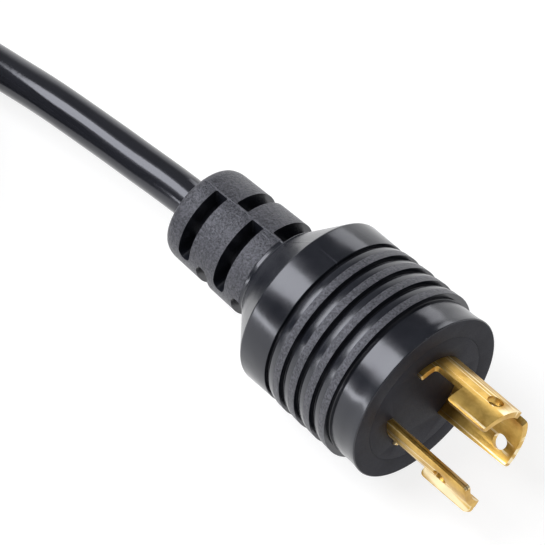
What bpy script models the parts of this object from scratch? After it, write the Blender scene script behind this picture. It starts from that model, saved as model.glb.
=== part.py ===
"""Shore power cord: a moulded three-blade locking plug, its cord wound for storage and a locking connector.

Metres, +Z up. The plug lies along X on the floor with its blades towards +X, its cord leaves towards -X,
and the origin is under the middle of the plug. Angles round a moulding run from its top towards +Y.
"""

from dataclasses import dataclass
import math

import bmesh
import bpy
from mathutils import Matrix, Vector

# The cord.
CORD_DIAMETER = 0.0078
CORD_LENGTH = 7.6
CORE_DIAMETER = 0.0025
STRAND_DIAMETER = 0.0015
CORE_CIRCLE_RADIUS = 0.00175

# The gap that neighbouring pieces keep.
GAP = 0.0003

# Outside of both mouldings, from the face backwards.
PLUG_RIM_RADIUS = 0.0175
CONNECTOR_RIM_RADIUS = 0.0190
RIM_EDGE = 0.00018
FRONT_BAND_LENGTH = 0.0062
FRONT_BAND_UNDER_RIM = 0.00035
FRONT_FLARE_LENGTH = 0.0025
RIB_PITCH = 0.00405
RIB_CREST_WIDTH = 0.0017
RIB_CREST_OVER_RIM = 0.00045
RIB_CREST_GROWTH = 0.00007
RIB_CREST_SLOPE = 0.00012
RIB_FLANK_RISE = 0.0005
GROOVE_WIDTH = 0.0008
GROOVE_DEPTH = 0.0013
PLUG_RIB_COUNT = 4
CONNECTOR_RIB_COUNT = 5
PLUG_REAR_BAND_LENGTH = 0.0069
CONNECTOR_REAR_BAND_LENGTH = 0.0120
REAR_BAND_OVER_RIM = 0.00015
SHOULDER_EDGE = 0.0004
FLARE_LENGTH = 0.0072
FLARE_FILLET = 0.0016

# The strain relief, with a slot in each quarter, staggered from one quarter to the next.
RELIEF_LENGTH = 0.0220
RELIEF_REAR_RADIUS = 0.00975
RELIEF_FRONT_RADIUS = 0.0103
RELIEF_REAR_ROUND = 0.0018
RELIEF_CORE_RADIUS = 0.0059
SLOT_WIDTH = 0.0030
SLOT_PITCH = 0.00483
SLOT_REAR_LAND = 0.00445
SLOT_END_WEB = 0.00035
SLOT_CORNER = 0.0009
LOWER_SLOT_RISE = 0.0010

# The blades: the ground blade is the longer one and has an outward flange.
BLADE_INNER_RADIUS = 0.0080
BLADE_THICKNESS = 0.0013
LINE_BLADE_LENGTH = 0.0169
GROUND_BLADE_EXTRA = 0.0032
LINE_BLADE_WIDTH = 0.0111
GROUND_BLADE_WIDTH = 0.0087
GROUND_BLADE_ANGLE = math.radians(251)
LINE_BLADE_SPREAD = math.radians(94)
BLADE_CORNER = 0.0012
BLADE_EDGE = 0.0003
BLADE_TAPER = 0.0005
BLADE_FOOT_HEIGHT = 0.0010
GROUND_FOOT_HEIGHT = 0.0005
NOTCH_END = 0.0076
NOTCH_DEPTH = 0.0038
GROUND_NOTCH_DEPTH = 0.0025
NOTCH_CORNER = 0.0006
BLADE_HOLE_DIAMETER = 0.0031
BLADE_HOLE_HEIGHT = 0.0133
GROUND_HOLE_INSET = 0.0034
LINE_HOLE_INSETS = (0.0048, 0.0036)
FLANGE_RADIUS = 0.0110
FLANGE_THICKNESS = 0.0013
SEAM_WIDTH = 0.00024
SEAM_DEPTH = 0.0008
BLADE_ROOT_DEPTH = 0.0080
STEM_WIDTH = 0.0034
BARREL_WALL = 0.0007
BARREL_LENGTH = 0.0060
STEM_BEHIND_CARRIER = 0.0010

# The plug's inner moulding, which holds the blades.
PLUG_FACE_RIM = 0.0040
CARRIER_THICKNESS = 0.0120
CARRIER_EDGE = 0.0002

# The connector's inside.
CONNECTOR_FACE_RIM = 0.0035
ENTRY_CLEARANCE = 0.0004
HOUSING_DEPTH = 0.0230
HOUSING_FLOOR = 0.0025
CONTACT_LEAF = 0.0005
CONTACT_CLEARANCE = 0.00025
CONTACT_WIDTH = 0.0052
CONTACT_RECESS = 0.0012
TWIST_ANGLE = math.radians(24)

# The wiring space behind the blades and contacts.
WIRING_CLEARANCE = 0.00125
WIRING_CONE_LENGTH = 0.0145

# The cord's stored part: a hank of piled loops, drawn in at the waist by a strap, with the connector on top.
HANK_START_X = -0.138
HANK_LAYERS = 4
HANK_LOOPS_PER_LAYER = 4
HANK_LEAD_IN = 0.12
FOLD_DIAMETERS = 2.9
HANK_CLEARANCE = 0.0006
WAIST_DRAW = 0.0060
WAIST_LENGTH = 0.044
FOLD_STEPS = 9
FLOOR_CLEARANCE = 0.00005
STRAP_WIDTH = 0.038
STRAP_THICKNESS = 0.0015
STRAP_LAP = 0.034
WAIST_SPARE = 0.0004
CONNECTOR_FROM_STRAP = 0.0035

ROUND_SEGMENTS = 36
INNER_SEGMENTS = 32
HOLE_SEGMENTS = 16
SMALL_SEGMENTS = 12
BLADE_STEPS = 8
SLOT_STEPS = 6
STRAP_CORNER_STEPS = 3
TAIL_FOLD_STEPS = 12
TAIL_RISE_STEPS = 5

# Worked out from the sizes above.
CORD_RADIUS = CORD_DIAMETER / 2
CORE_RADIUS = CORE_DIAMETER / 2
STRAND_RADIUS = STRAND_DIAMETER / 2
BORE_RADIUS = CORD_RADIUS + GAP
CARRIER_RADIUS = PLUG_RIM_RADIUS - PLUG_FACE_RIM
CONNECTOR_INSERT_RADIUS = CONNECTOR_RIM_RADIUS - CONNECTOR_FACE_RIM
BLADE_OUTER_RADIUS = BLADE_INNER_RADIUS + BLADE_THICKNESS
BLADE_CIRCLE_RADIUS = BLADE_INNER_RADIUS + BLADE_THICKNESS / 2
GROUND_BLADE_LENGTH = LINE_BLADE_LENGTH + GROUND_BLADE_EXTRA
BARREL_BORE_RADIUS = STRAND_RADIUS + GAP
BARREL_RADIUS = BARREL_BORE_RADIUS + BARREL_WALL
WIRING_RADIUS = BLADE_CIRCLE_RADIUS + BARREL_RADIUS + WIRING_CLEARANCE
LINE_BLADE_ANGLES = (
    GROUND_BLADE_ANGLE + math.pi - LINE_BLADE_SPREAD / 2,
    GROUND_BLADE_ANGLE + math.pi + LINE_BLADE_SPREAD / 2,
)
ENTRY_THICKNESS = NOTCH_END - BLADE_FOOT_HEIGHT - 2 * GAP
HANK_STEP = CORD_DIAMETER + HANK_CLEARANCE
HANK_RUNS = 2 * HANK_LAYERS * HANK_LOOPS_PER_LAYER - 1
LAST_TURN = HANK_RUNS / 2 - 0.5 + HANK_LEAD_IN
FOLD_TURNS = 0.5 - 2 * HANK_LEAD_IN
CORE_TURN = math.radians(120)


@dataclass(frozen=True)
class Material:
    """A plain surface finish: colour, roughness and metallic value."""

    name: str
    colour: tuple
    roughness: float
    metallic: float = 0.0


BLACK_PVC = Material("black_pvc", (0.030, 0.032, 0.037), 0.38)
JACKET_PVC = Material("jacket_pvc", (0.034, 0.035, 0.040), 0.34)
INSERT_PLASTIC = Material("insert_plastic", (0.036, 0.037, 0.042), 0.55)
BRASS = Material("brass", (0.78, 0.56, 0.22), 0.25, 1.0)
COPPER = Material("copper", (0.80, 0.42, 0.26), 0.30, 1.0)
GREEN_CORE = Material("green_core", (0.03, 0.28, 0.08), 0.45)
BLACK_CORE = Material("black_core", (0.02, 0.02, 0.02), 0.45)
WHITE_CORE = Material("white_core", (0.80, 0.80, 0.76), 0.45)
STRAP_FABRIC = Material("strap_fabric", (0.022, 0.022, 0.024), 0.90)


@dataclass(frozen=True)
class Moulding:
    """The sizes in which the plug's overmould and the connector's overmould differ."""

    name: str
    rim_radius: float
    rib_count: int
    rear_band_length: float
    pocket_radius: float
    pocket_depth: float
    wiring_depth: float

    @property
    def shoulder(self):
        """Distance from the face to the rear edge of the rear band."""
        return FRONT_BAND_LENGTH + GROOVE_WIDTH + self.rib_count * RIB_PITCH + self.rear_band_length

    @property
    def relief_front(self):
        return self.shoulder + FLARE_LENGTH

    @property
    def length(self):
        return self.relief_front + RELIEF_LENGTH

    @property
    def jacket_front(self):
        """Distance from the face to where the cord's outer jacket begins."""
        return self.wiring_depth + WIRING_CONE_LENGTH + GAP

    @property
    def greatest_radius(self):
        return crest_radius(self, 0)


@dataclass(frozen=True)
class Blade:
    """One current-carrying blade, as an arc about the plug's axis."""

    name: str
    angle: float
    width: float
    length: float
    foot_height: float
    notch_depth: float
    hole_inset: float
    flanged: bool
    core: Material

    @property
    def spread(self):
        return self.width / BLADE_CIRCLE_RADIUS

    @property
    def start(self):
        return self.angle - self.spread / 2

    @property
    def stop(self):
        return self.angle + self.spread / 2

    @property
    def neck(self):
        """Angle of the notch's inner end."""
        return self.start + self.notch_depth / BLADE_CIRCLE_RADIUS


def crest_radius(moulding, rib):
    """Front edge of a rib's crest; rib 0 is the one next to the front band."""
    ribs_behind = moulding.rib_count - 1 - rib
    return moulding.rim_radius + RIB_CREST_OVER_RIM + ribs_behind * RIB_CREST_GROWTH


# ---------------------------------------------------------------- modelling helpers


def clear_scene():
    for thing in list(bpy.data.objects):
        bpy.data.objects.remove(thing, do_unlink=True)


def make_material(finish):
    material = bpy.data.materials.get(finish.name)
    if material is None:
        material = bpy.data.materials.new(finish.name)
        material.use_nodes = True
        surface = material.node_tree.nodes["Principled BSDF"]
        surface.inputs["Base Color"].default_value = (*finish.colour, 1.0)
        surface.inputs["Roughness"].default_value = finish.roughness
        surface.inputs["Metallic"].default_value = finish.metallic
    return material


def polar(axial, radius, angle):
    """A point by its place along the axis, its radius and its angle from the top towards +Y."""
    return Vector((axial, radius * math.sin(angle), radius * math.cos(angle)))


def add_object(name, data, finish, parent):
    thing = bpy.data.objects.new(name, data)
    bpy.context.scene.collection.objects.link(thing)
    data.materials.append(make_material(finish))
    thing.parent = parent
    return thing


def mesh_object(name, bm, finish, parent):
    bmesh.ops.remove_doubles(bm, verts=bm.verts, dist=1e-6)
    bmesh.ops.recalc_face_normals(bm, faces=bm.faces)
    mesh = bpy.data.meshes.new(name)
    bm.to_mesh(mesh)
    bm.free()
    mesh.shade_smooth()
    mesh.set_sharp_from_angle(angle=math.radians(35))
    return add_object(name, mesh, finish, parent)


def revolved(profile, segments, closed=True):
    """Turns an outline of (axial, radius) points about the X axis."""
    bm = bmesh.new()
    verts = [bm.verts.new(polar(axial, radius, 0.0)) for axial, radius in profile]
    ends = verts[1:] + verts[:1] if closed else verts[1:]
    edges = [bm.edges.new(pair) for pair in zip(verts, ends)]
    bmesh.ops.spin(
        bm, geom=verts + edges, cent=(0, 0, 0), axis=(1, 0, 0), angle=math.tau, steps=segments, use_merge=True
    )
    return bm


def lofted(sections):
    """Skins a row of like outlines and closes both ends."""
    bm = bmesh.new()
    rows = [[bm.verts.new(point) for point in section] for section in sections]
    count = len(rows[0])
    for row, following in zip(rows, rows[1:]):
        for i in range(count):
            j = (i + 1) % count
            bm.faces.new((row[i], row[j], following[j], following[i]))
    bm.faces.new(rows[0])
    bm.faces.new(reversed(rows[-1]))
    return bm


def rounded_stations(width, corner, step):
    """Places across a width, close together where its corners are round, each with the corner's setback."""
    stations = []
    if corner > 0:
        for i in range(3):
            turn = math.radians(45 * i)
            stations.append((corner * (1 - math.cos(turn)), corner * (1 - math.sin(turn))))
        start, inner = corner, width - 2 * corner
    else:
        stations.append((0.0, 0.0))
        start, inner = 0.0, width
    count = max(1, math.ceil(inner / step))
    mirrored = [(width - place, setback) for place, setback in reversed(stations)]
    between = [(start + inner * i / count, 0.0) for i in range(1, count)]
    return stations + between + mirrored


def arc_block(
    back, front, inner, outer, start, stop, corner=0.0, back_corner=0.0, edge=0.0, taper=0.0, steps=SLOT_STEPS
):
    """A plate bent round the axis. Its front corners are rounded by corner, its back ones by back_corner,
    its front edges are bevelled by edge, and its stop side leans in by taper towards the front."""
    middle = (inner + outer) / 2
    width = (stop - start) * middle
    sections = []
    for place, setback in rounded_stations(width, max(corner, back_corner), width / steps):
        round_front = front - (setback if corner else 0.0)
        round_back = back + (setback if back_corner else 0.0)
        outline = [(round_back, inner), (round_back, outer)]
        if edge:
            outline += [(round_front - edge, outer), (round_front, outer - edge)]
            outline += [(round_front, inner + edge), (round_front - edge, inner)]
        else:
            outline += [(round_front, outer), (round_front, inner)]
        section = []
        for axial, radius in outline:
            lean = taper * max(0.0, axial / front) if taper else 0.0
            angle = start + (place / width) * (width - lean) / middle
            section.append(polar(axial, radius, angle))
        sections.append(section)
    return lofted(sections)


def rod(start, end, radius, segments):
    """A plain round bar between two points."""
    bm = bmesh.new()
    along = end - start
    turn = along.to_track_quat("Z", "Y").to_matrix().to_4x4()
    place = Matrix.Translation((start + end) / 2) @ turn
    bmesh.ops.create_cone(
        bm, cap_ends=True, segments=segments, radius1=radius, radius2=radius, depth=along.length, matrix=place
    )
    return bm


def boolean(target, tool_bm, operation="DIFFERENCE"):
    """Cuts a shape from the target, or joins it on, with a hidden helper object."""
    name = f"{target.name}_{operation.lower()}_{len(target.modifiers)}"
    helper = mesh_object(name, tool_bm, BLACK_PVC, target.parent)
    helper.hide_render = True
    helper.display_type = "WIRE"
    modifier = target.modifiers.new(operation.lower(), "BOOLEAN")
    modifier.operation = operation
    modifier.solver = "EXACT"
    modifier.object = helper


def tube(name, points, radius, finish, parent, resolution=2):
    """A round tube with flat ends along a row of points."""
    curve = bpy.data.curves.new(name, "CURVE")
    curve.dimensions = "3D"
    curve.bevel_depth = radius
    curve.bevel_resolution = resolution
    curve.use_fill_caps = True
    spline = curve.splines.new("POLY")
    spline.points.add(len(points) - 1)
    for slot, point in zip(spline.points, points):
        slot.co = (*point, 1.0)
    return add_object(name, curve, finish, parent)


def empty(name, place, turn=0.0):
    holder = bpy.data.objects.new(name, None)
    bpy.context.scene.collection.objects.link(holder)
    holder.location = place
    holder.rotation_euler = (0.0, 0.0, turn)
    bpy.context.view_layer.update()
    return holder


def smooth_step(t):
    return t * t * (3 - 2 * t)


# ---------------------------------------------------------------- the two mouldings


def rib_profile(moulding):
    """Front band and ribs, from the rear band forwards, each crest ending in a sharp step at its front."""
    points = []
    for rib in reversed(range(moulding.rib_count)):
        crest_front = -(FRONT_BAND_LENGTH + GROOVE_WIDTH + rib * RIB_PITCH)
        crest = crest_radius(moulding, rib)
        crest_back = crest_front - RIB_CREST_WIDTH
        flank_back = crest_front - RIB_PITCH + GROOVE_WIDTH
        points.append((flank_back, crest - GROOVE_DEPTH))
        points.append((flank_back, crest - RIB_FLANK_RISE))
        points.append((crest_back, crest - RIB_CREST_SLOPE))
        points.append((crest_front, crest))
        points.append((crest_front, crest - GROOVE_DEPTH))
    band = moulding.rim_radius - FRONT_BAND_UNDER_RIM
    points.append((-FRONT_BAND_LENGTH, crest_radius(moulding, 0) - GROOVE_DEPTH))
    points.append((-FRONT_BAND_LENGTH, band))
    points.append((-FRONT_FLARE_LENGTH, band))
    points.append((-RIM_EDGE, moulding.rim_radius))
    points.append((0.0, moulding.rim_radius - RIM_EDGE))
    return points


def flare_profile(moulding, rear_band):
    """The smooth cone between the strain relief and the rear band, hollowed where it leaves the relief."""
    start = Vector((-moulding.relief_front, RELIEF_FRONT_RADIUS))
    end = Vector((-moulding.shoulder, rear_band - SHOULDER_EDGE))
    along_relief = start - Vector((FLARE_FILLET, 0.0))
    up_the_cone = start.lerp(end, FLARE_FILLET / (end - start).length)
    points = []
    for i in range(4):
        t = i / 3
        points.append(along_relief.lerp(start, t).lerp(start.lerp(up_the_cone, t), t))
    return [tuple(point) for point in points] + [tuple(end)]


def overmould(moulding, parent):
    """The outer moulding in one piece: strain relief, flare, rear band, ribs and front band."""
    rear = -moulding.length
    rear_band = moulding.rim_radius + REAR_BAND_OVER_RIM
    points = [(rear, BORE_RADIUS)]
    for i in range(4):
        turn = math.radians(30 * i)
        axial = rear + RELIEF_REAR_ROUND * (1 - math.sin(turn))
        radius = RELIEF_REAR_RADIUS - RELIEF_REAR_ROUND * (1 - math.cos(turn))
        points.append((axial, radius))
    points[1:5] = reversed(points[1:5])
    points += flare_profile(moulding, rear_band)
    points.append((-moulding.shoulder + SHOULDER_EDGE, rear_band))
    last_groove = FRONT_BAND_LENGTH + GROOVE_WIDTH + moulding.rib_count * RIB_PITCH
    points.append((-last_groove, rear_band))
    points.append((-last_groove, crest_radius(moulding, moulding.rib_count - 1) - GROOVE_DEPTH))
    points += rib_profile(moulding)
    pocket = moulding.pocket_radius + GAP
    points.append((0.0, pocket))
    points.append((-moulding.pocket_depth, pocket))
    points.append((-moulding.pocket_depth, WIRING_RADIUS))
    points.append((-moulding.wiring_depth, WIRING_RADIUS))
    points.append((-moulding.wiring_depth - WIRING_CONE_LENGTH, BORE_RADIUS))
    body = mesh_object(f"{moulding.name}_overmould", revolved(points, ROUND_SEGMENTS), BLACK_PVC, parent)
    cut_relief_slots(body, moulding)
    return body


def cut_relief_slots(body, moulding):
    """Two slots in each quarter of the relief. Those of one quarter fall between those of its neighbours."""
    outer = RELIEF_FRONT_RADIUS + 2 * GAP
    web = SLOT_END_WEB / RELIEF_FRONT_RADIUS
    rise = LOWER_SLOT_RISE / RELIEF_FRONT_RADIUS
    quarter = math.pi / 2
    upper = (web, quarter - web)
    lower = (quarter - rise, math.pi - web)
    for side in (-1, 1):
        for low, (near, far) in enumerate((upper, lower)):
            staggered = (side > 0) != (low == 1)
            for pair in range(2):
                shift = SLOT_PITCH * (2 * pair + staggered)
                back = -moulding.length + SLOT_REAR_LAND + shift
                start, stop = sorted((side * near, side * far))
                pocket = arc_block(
                    back,
                    back + SLOT_WIDTH,
                    RELIEF_CORE_RADIUS,
                    outer,
                    start,
                    stop,
                    corner=SLOT_CORNER,
                    back_corner=SLOT_CORNER,
                )
                boolean(body, pocket)


# ---------------------------------------------------------------- the plug


def blade_solid(blade, parent):
    """A bent brass blade with its locking notch, hole, seam, stem and crimp barrel."""
    plate = arc_block(
        -BLADE_ROOT_DEPTH,
        blade.length,
        BLADE_INNER_RADIUS,
        BLADE_OUTER_RADIUS,
        blade.start,
        blade.stop,
        corner=BLADE_CORNER,
        edge=BLADE_EDGE,
        taper=BLADE_TAPER,
        steps=BLADE_STEPS,
    )
    thing = mesh_object(f"plug_blade_{blade.name}", plate, BRASS, parent)
    if blade.flanged:
        boolean(thing, flange_block(blade, 0.0), "UNION")
    boolean(thing, stem_block(blade, 0.0), "UNION")
    barrel_front, barrel_back = plug_barrel_ends()
    centre = BLADE_CIRCLE_RADIUS
    barrel = rod(
        polar(barrel_back, centre, blade.angle),
        polar(barrel_front, centre, blade.angle),
        BARREL_RADIUS,
        SMALL_SEGMENTS,
    )
    boolean(thing, barrel, "UNION")
    bore_front = barrel_back + BARREL_LENGTH - BARREL_WALL
    bore = rod(
        polar(barrel_back - GAP, centre, blade.angle),
        polar(bore_front, centre, blade.angle),
        BARREL_BORE_RADIUS,
        SMALL_SEGMENTS,
    )
    boolean(thing, bore)
    reach = (FLANGE_RADIUS - BLADE_CIRCLE_RADIUS) if blade.flanged else 0.0
    notch = arc_block(
        blade.foot_height,
        NOTCH_END,
        BLADE_INNER_RADIUS - GAP,
        BLADE_OUTER_RADIUS + GAP + reach,
        blade.start - blade.notch_depth / BLADE_CIRCLE_RADIUS,
        blade.neck,
        corner=NOTCH_CORNER,
        back_corner=NOTCH_CORNER,
    )
    boolean(thing, notch)
    hole_angle = blade.stop - blade.hole_inset / BLADE_CIRCLE_RADIUS
    hole = rod(
        polar(BLADE_HOLE_HEIGHT, BLADE_INNER_RADIUS - BLADE_THICKNESS, hole_angle),
        polar(BLADE_HOLE_HEIGHT, BLADE_OUTER_RADIUS + BLADE_THICKNESS, hole_angle),
        BLADE_HOLE_DIAMETER / 2,
        HOLE_SEGMENTS,
    )
    boolean(thing, hole)
    seam = arc_block(
        BLADE_FOOT_HEIGHT,
        blade.length + GAP,
        BLADE_CIRCLE_RADIUS - SEAM_WIDTH / 2,
        BLADE_CIRCLE_RADIUS + SEAM_WIDTH / 2,
        blade.stop - SEAM_DEPTH / BLADE_CIRCLE_RADIUS,
        blade.stop + SEAM_DEPTH / BLADE_CIRCLE_RADIUS,
    )
    boolean(thing, seam)
    return thing


def flange_block(blade, extra):
    """The ground blade's outward flange, or with extra the space that it needs."""
    turn = (FLANGE_THICKNESS + extra) / BLADE_CIRCLE_RADIUS
    return arc_block(
        -BLADE_ROOT_DEPTH / 2 - extra,
        blade.length - BLADE_CORNER if not extra else GAP,
        BLADE_CIRCLE_RADIUS - extra,
        FLANGE_RADIUS + extra,
        blade.start + (SEAM_WIDTH - extra) / BLADE_CIRCLE_RADIUS,
        blade.start + turn,
    )


def stem_block(blade, extra):
    """The narrow stem from the blade's root to its crimp barrel, or with extra the space that it needs."""
    half = (STEM_WIDTH / 2 + extra) / BLADE_CIRCLE_RADIUS
    return arc_block(
        plug_barrel_ends()[0] - BARREL_WALL,
        -BLADE_ROOT_DEPTH + BLADE_THICKNESS,
        BLADE_INNER_RADIUS + BLADE_EDGE / 2 - extra,
        BLADE_OUTER_RADIUS - BLADE_EDGE / 2 + extra,
        blade.angle - half,
        blade.angle + half,
    )


def plug_barrel_ends():
    """Front and back of the crimp barrels, behind the carrier."""
    front = -CARRIER_THICKNESS - STEM_BEHIND_CARRIER
    return front, front - BARREL_LENGTH


def blade_carrier(blades, parent):
    """The inner moulding, flush with the face, with a slot for each blade."""
    outline = [
        (-CARRIER_THICKNESS, 0.0),
        (-CARRIER_THICKNESS, CARRIER_RADIUS),
        (-CARRIER_EDGE, CARRIER_RADIUS),
        (0.0, CARRIER_RADIUS - CARRIER_EDGE),
        (0.0, 0.0),
    ]
    carrier = mesh_object(
        "plug_blade_carrier", revolved(outline, ROUND_SEGMENTS, closed=False), INSERT_PLASTIC, parent
    )
    room = GAP / BLADE_CIRCLE_RADIUS
    for blade in blades:
        slot = arc_block(
            -BLADE_ROOT_DEPTH - GAP,
            GAP,
            BLADE_INNER_RADIUS - GAP,
            BLADE_OUTER_RADIUS + GAP,
            blade.start - room,
            blade.stop + room,
        )
        boolean(carrier, slot)
        if blade.flanged:
            boolean(carrier, flange_block(blade, GAP))
        boolean(carrier, stem_block(blade, GAP))
    return carrier


def wire_points(front, back, angle_front, angle_back):
    """A core's route from its terminal inwards to its place in the cord, straight at both ends."""
    lead = CORE_DIAMETER / 2
    points = [polar(front, BLADE_CIRCLE_RADIUS, angle_front)]
    count = 10
    for i in range(count + 1):
        t = smooth_step(i / count)
        axial = front - lead + (back + lead - front + lead) * i / count
        radius = BLADE_CIRCLE_RADIUS + (CORE_CIRCLE_RADIUS - BLADE_CIRCLE_RADIUS) * t
        angle = angle_front + (angle_back - angle_front) * t
        points.append(polar(axial, radius, angle))
    points.append(polar(back, CORE_CIRCLE_RADIUS, angle_back))
    return points


def core_angle(blade, ground_angle):
    """Where a core lies in the cord: the three are a third of a turn apart."""
    if blade.flanged:
        return ground_angle
    lead = math.remainder(blade.angle - GROUND_BLADE_ANGLE, math.tau)
    return ground_angle + math.copysign(CORE_TURN, lead)


def wiring(side, blade, angle, barrel_back, moulding, parent):
    """One core with its bare strands in the crimp barrel. The angle is the terminal's."""
    strands = rod(
        polar(barrel_back - GAP, BLADE_CIRCLE_RADIUS, angle),
        polar(barrel_back + BARREL_LENGTH - BARREL_WALL - GAP, BLADE_CIRCLE_RADIUS, angle),
        STRAND_RADIUS,
        SMALL_SEGMENTS,
    )
    mesh_object(f"{side}_strands_{blade.name}", strands, COPPER, parent)
    hand = 1 if side == "plug" else -1
    target = core_angle(blade, GROUND_BLADE_ANGLE)
    turn = math.remainder(target - blade.angle, math.tau)
    route = wire_points(barrel_back - 2 * GAP, -moulding.jacket_front + GAP, angle, angle + hand * turn)
    tube(f"{side}_core_{blade.name}", route, CORE_RADIUS, blade.core, parent, resolution=1)


def jacket_end(side, moulding, parent):
    """The cord's end inside the moulding, up to the rear face."""
    bar = rod(
        Vector((-moulding.length, 0, 0)), Vector((-moulding.jacket_front, 0, 0)), CORD_RADIUS, INNER_SEGMENTS
    )
    mesh_object(f"{side}_jacket_end", bar, JACKET_PVC, parent)


def build_plug(moulding, blades):
    parent = empty("plug_frame", (plug_face_x(moulding), 0.0, moulding.greatest_radius))
    overmould(moulding, parent)
    blade_carrier(blades, parent)
    for blade in blades:
        blade_solid(blade, parent)
        wiring("plug", blade, blade.angle, plug_barrel_ends()[1], moulding, parent)
    jacket_end("plug", moulding, parent)


def plug_face_x(moulding):
    """Places the middle of the plug, from the relief's rear to the ground blade's tip, over the origin."""
    return (moulding.length - GROUND_BLADE_LENGTH) / 2


# ---------------------------------------------------------------- the connector


def contact_angle(blade):
    """Middle of a contact in the connector, seen in a mirror and turned on to where the blade locks."""
    return -(blade.neck + blade.stop) / 2 + TWIST_ANGLE


def entry_face(blades, parent):
    """The hard face with three curved slots. Its thickness fits the blades' notches."""
    outline = [
        (-ENTRY_THICKNESS, 0.0),
        (-ENTRY_THICKNESS, CONNECTOR_INSERT_RADIUS),
        (-CARRIER_EDGE, CONNECTOR_INSERT_RADIUS),
        (0.0, CONNECTOR_INSERT_RADIUS - CARRIER_EDGE),
        (0.0, 0.0),
    ]
    face = mesh_object(
        "connector_entry_face", revolved(outline, ROUND_SEGMENTS, closed=False), INSERT_PLASTIC, parent
    )
    room = ENTRY_CLEARANCE / BLADE_CIRCLE_RADIUS
    for blade in blades:
        slot = arc_block(
            -ENTRY_THICKNESS - GAP,
            GAP,
            BLADE_INNER_RADIUS - ENTRY_CLEARANCE,
            BLADE_OUTER_RADIUS + ENTRY_CLEARANCE,
            -blade.stop - room,
            -blade.start + room,
        )
        boolean(face, slot)
        if blade.flanged:
            tab = arc_block(
                -ENTRY_THICKNESS - GAP,
                GAP,
                BLADE_CIRCLE_RADIUS,
                FLANGE_RADIUS + ENTRY_CLEARANCE,
                -blade.start - FLANGE_THICKNESS / BLADE_CIRCLE_RADIUS - room,
                -blade.start + room,
            )
            boolean(face, tab)
    return face


def contact_housing(blades, parent):
    """The block behind the face, with a chamber for each contact that leaves room for the twist."""
    front = -ENTRY_THICKNESS - GAP
    back = front - HOUSING_DEPTH
    outline = [(back, 0.0), (back, CONNECTOR_INSERT_RADIUS), (front, CONNECTOR_INSERT_RADIUS), (front, 0.0)]
    housing = mesh_object(
        "connector_contact_housing", revolved(outline, ROUND_SEGMENTS, closed=False), INSERT_PLASTIC, parent
    )
    leaf_room = CONTACT_CLEARANCE + CONTACT_LEAF + GAP
    room = ENTRY_CLEARANCE / BLADE_CIRCLE_RADIUS
    for blade in blades:
        outer = max(BLADE_OUTER_RADIUS + leaf_room, FLANGE_RADIUS + ENTRY_CLEARANCE if blade.flanged else 0.0)
        chamber = arc_block(
            back + HOUSING_FLOOR,
            front + GAP,
            BLADE_INNER_RADIUS - leaf_room,
            outer,
            -blade.stop - room,
            -blade.start + TWIST_ANGLE + room,
        )
        boolean(housing, chamber)
        angle = contact_angle(blade)
        passage = rod(
            polar(back - GAP, BLADE_CIRCLE_RADIUS, angle),
            polar(back + HOUSING_FLOOR + CONTACT_LEAF + 2 * GAP, BLADE_CIRCLE_RADIUS, angle),
            BARREL_RADIUS + GAP,
            SMALL_SEGMENTS,
        )
        boolean(housing, passage)
    return housing


def contact_solid(blade, parent):
    """A spring contact: two curved leaves that take the blade between them, on a crimp barrel."""
    housing_back = -ENTRY_THICKNESS - GAP - HOUSING_DEPTH
    back = housing_back + HOUSING_FLOOR + GAP
    front = -ENTRY_THICKNESS - GAP - CONTACT_RECESS
    inner = BLADE_INNER_RADIUS - CONTACT_CLEARANCE
    outer = BLADE_OUTER_RADIUS + CONTACT_CLEARANCE
    angle = contact_angle(blade)
    half = CONTACT_WIDTH / BLADE_CIRCLE_RADIUS / 2
    body = arc_block(back, front, inner - CONTACT_LEAF, outer + CONTACT_LEAF, angle - half, angle + half)
    thing = mesh_object(f"connector_contact_{blade.name}", body, BRASS, parent)
    room = 2 * GAP / BLADE_CIRCLE_RADIUS
    start, stop = angle - half - room, angle + half + room
    between = arc_block(back + 2 * CONTACT_LEAF, front + GAP, inner, outer, start, stop)
    boolean(thing, between)
    barrel_back = connector_barrel_back()
    barrel = rod(
        polar(barrel_back, BLADE_CIRCLE_RADIUS, angle),
        polar(back + CONTACT_LEAF, BLADE_CIRCLE_RADIUS, angle),
        BARREL_RADIUS,
        SMALL_SEGMENTS,
    )
    boolean(thing, barrel, "UNION")
    bore = rod(
        polar(barrel_back - GAP, BLADE_CIRCLE_RADIUS, angle),
        polar(barrel_back + BARREL_LENGTH - BARREL_WALL, BLADE_CIRCLE_RADIUS, angle),
        BARREL_BORE_RADIUS,
        SMALL_SEGMENTS,
    )
    boolean(thing, bore)
    return thing


def connector_barrel_back():
    return -ENTRY_THICKNESS - GAP - HOUSING_DEPTH - BARREL_LENGTH


def build_connector(moulding, blades, rear):
    """The far end, lying along X with its rear face at the given point."""
    parent = empty("connector_frame", (rear.x + moulding.length, rear.y, rear.z))
    overmould(moulding, parent)
    entry_face(blades, parent)
    contact_housing(blades, parent)
    for blade in blades:
        contact_solid(blade, parent)
        wiring("connector", blade, contact_angle(blade), connector_barrel_back(), moulding, parent)
    jacket_end("connector", moulding, parent)


# ---------------------------------------------------------------- the cord


def smooth_curve(route, spacing):
    """Points at an even spacing along a smooth curve through the route's own points."""
    padded = [2 * route[0] - route[1]] + route + [2 * route[-1] - route[-2]]
    fine = []
    for before, start, end, after in zip(padded, padded[1:], padded[2:], padded[3:]):
        for i in range(12):
            t = i / 12
            a = 2 * start
            b = end - before
            c = 2 * before - 5 * start + 4 * end - after
            d = 3 * start - before - 3 * end + after
            fine.append((a + b * t + c * t * t + d * t * t * t) / 2)
    fine.append(route[-1])
    return evenly_spaced(fine, spacing)


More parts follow.
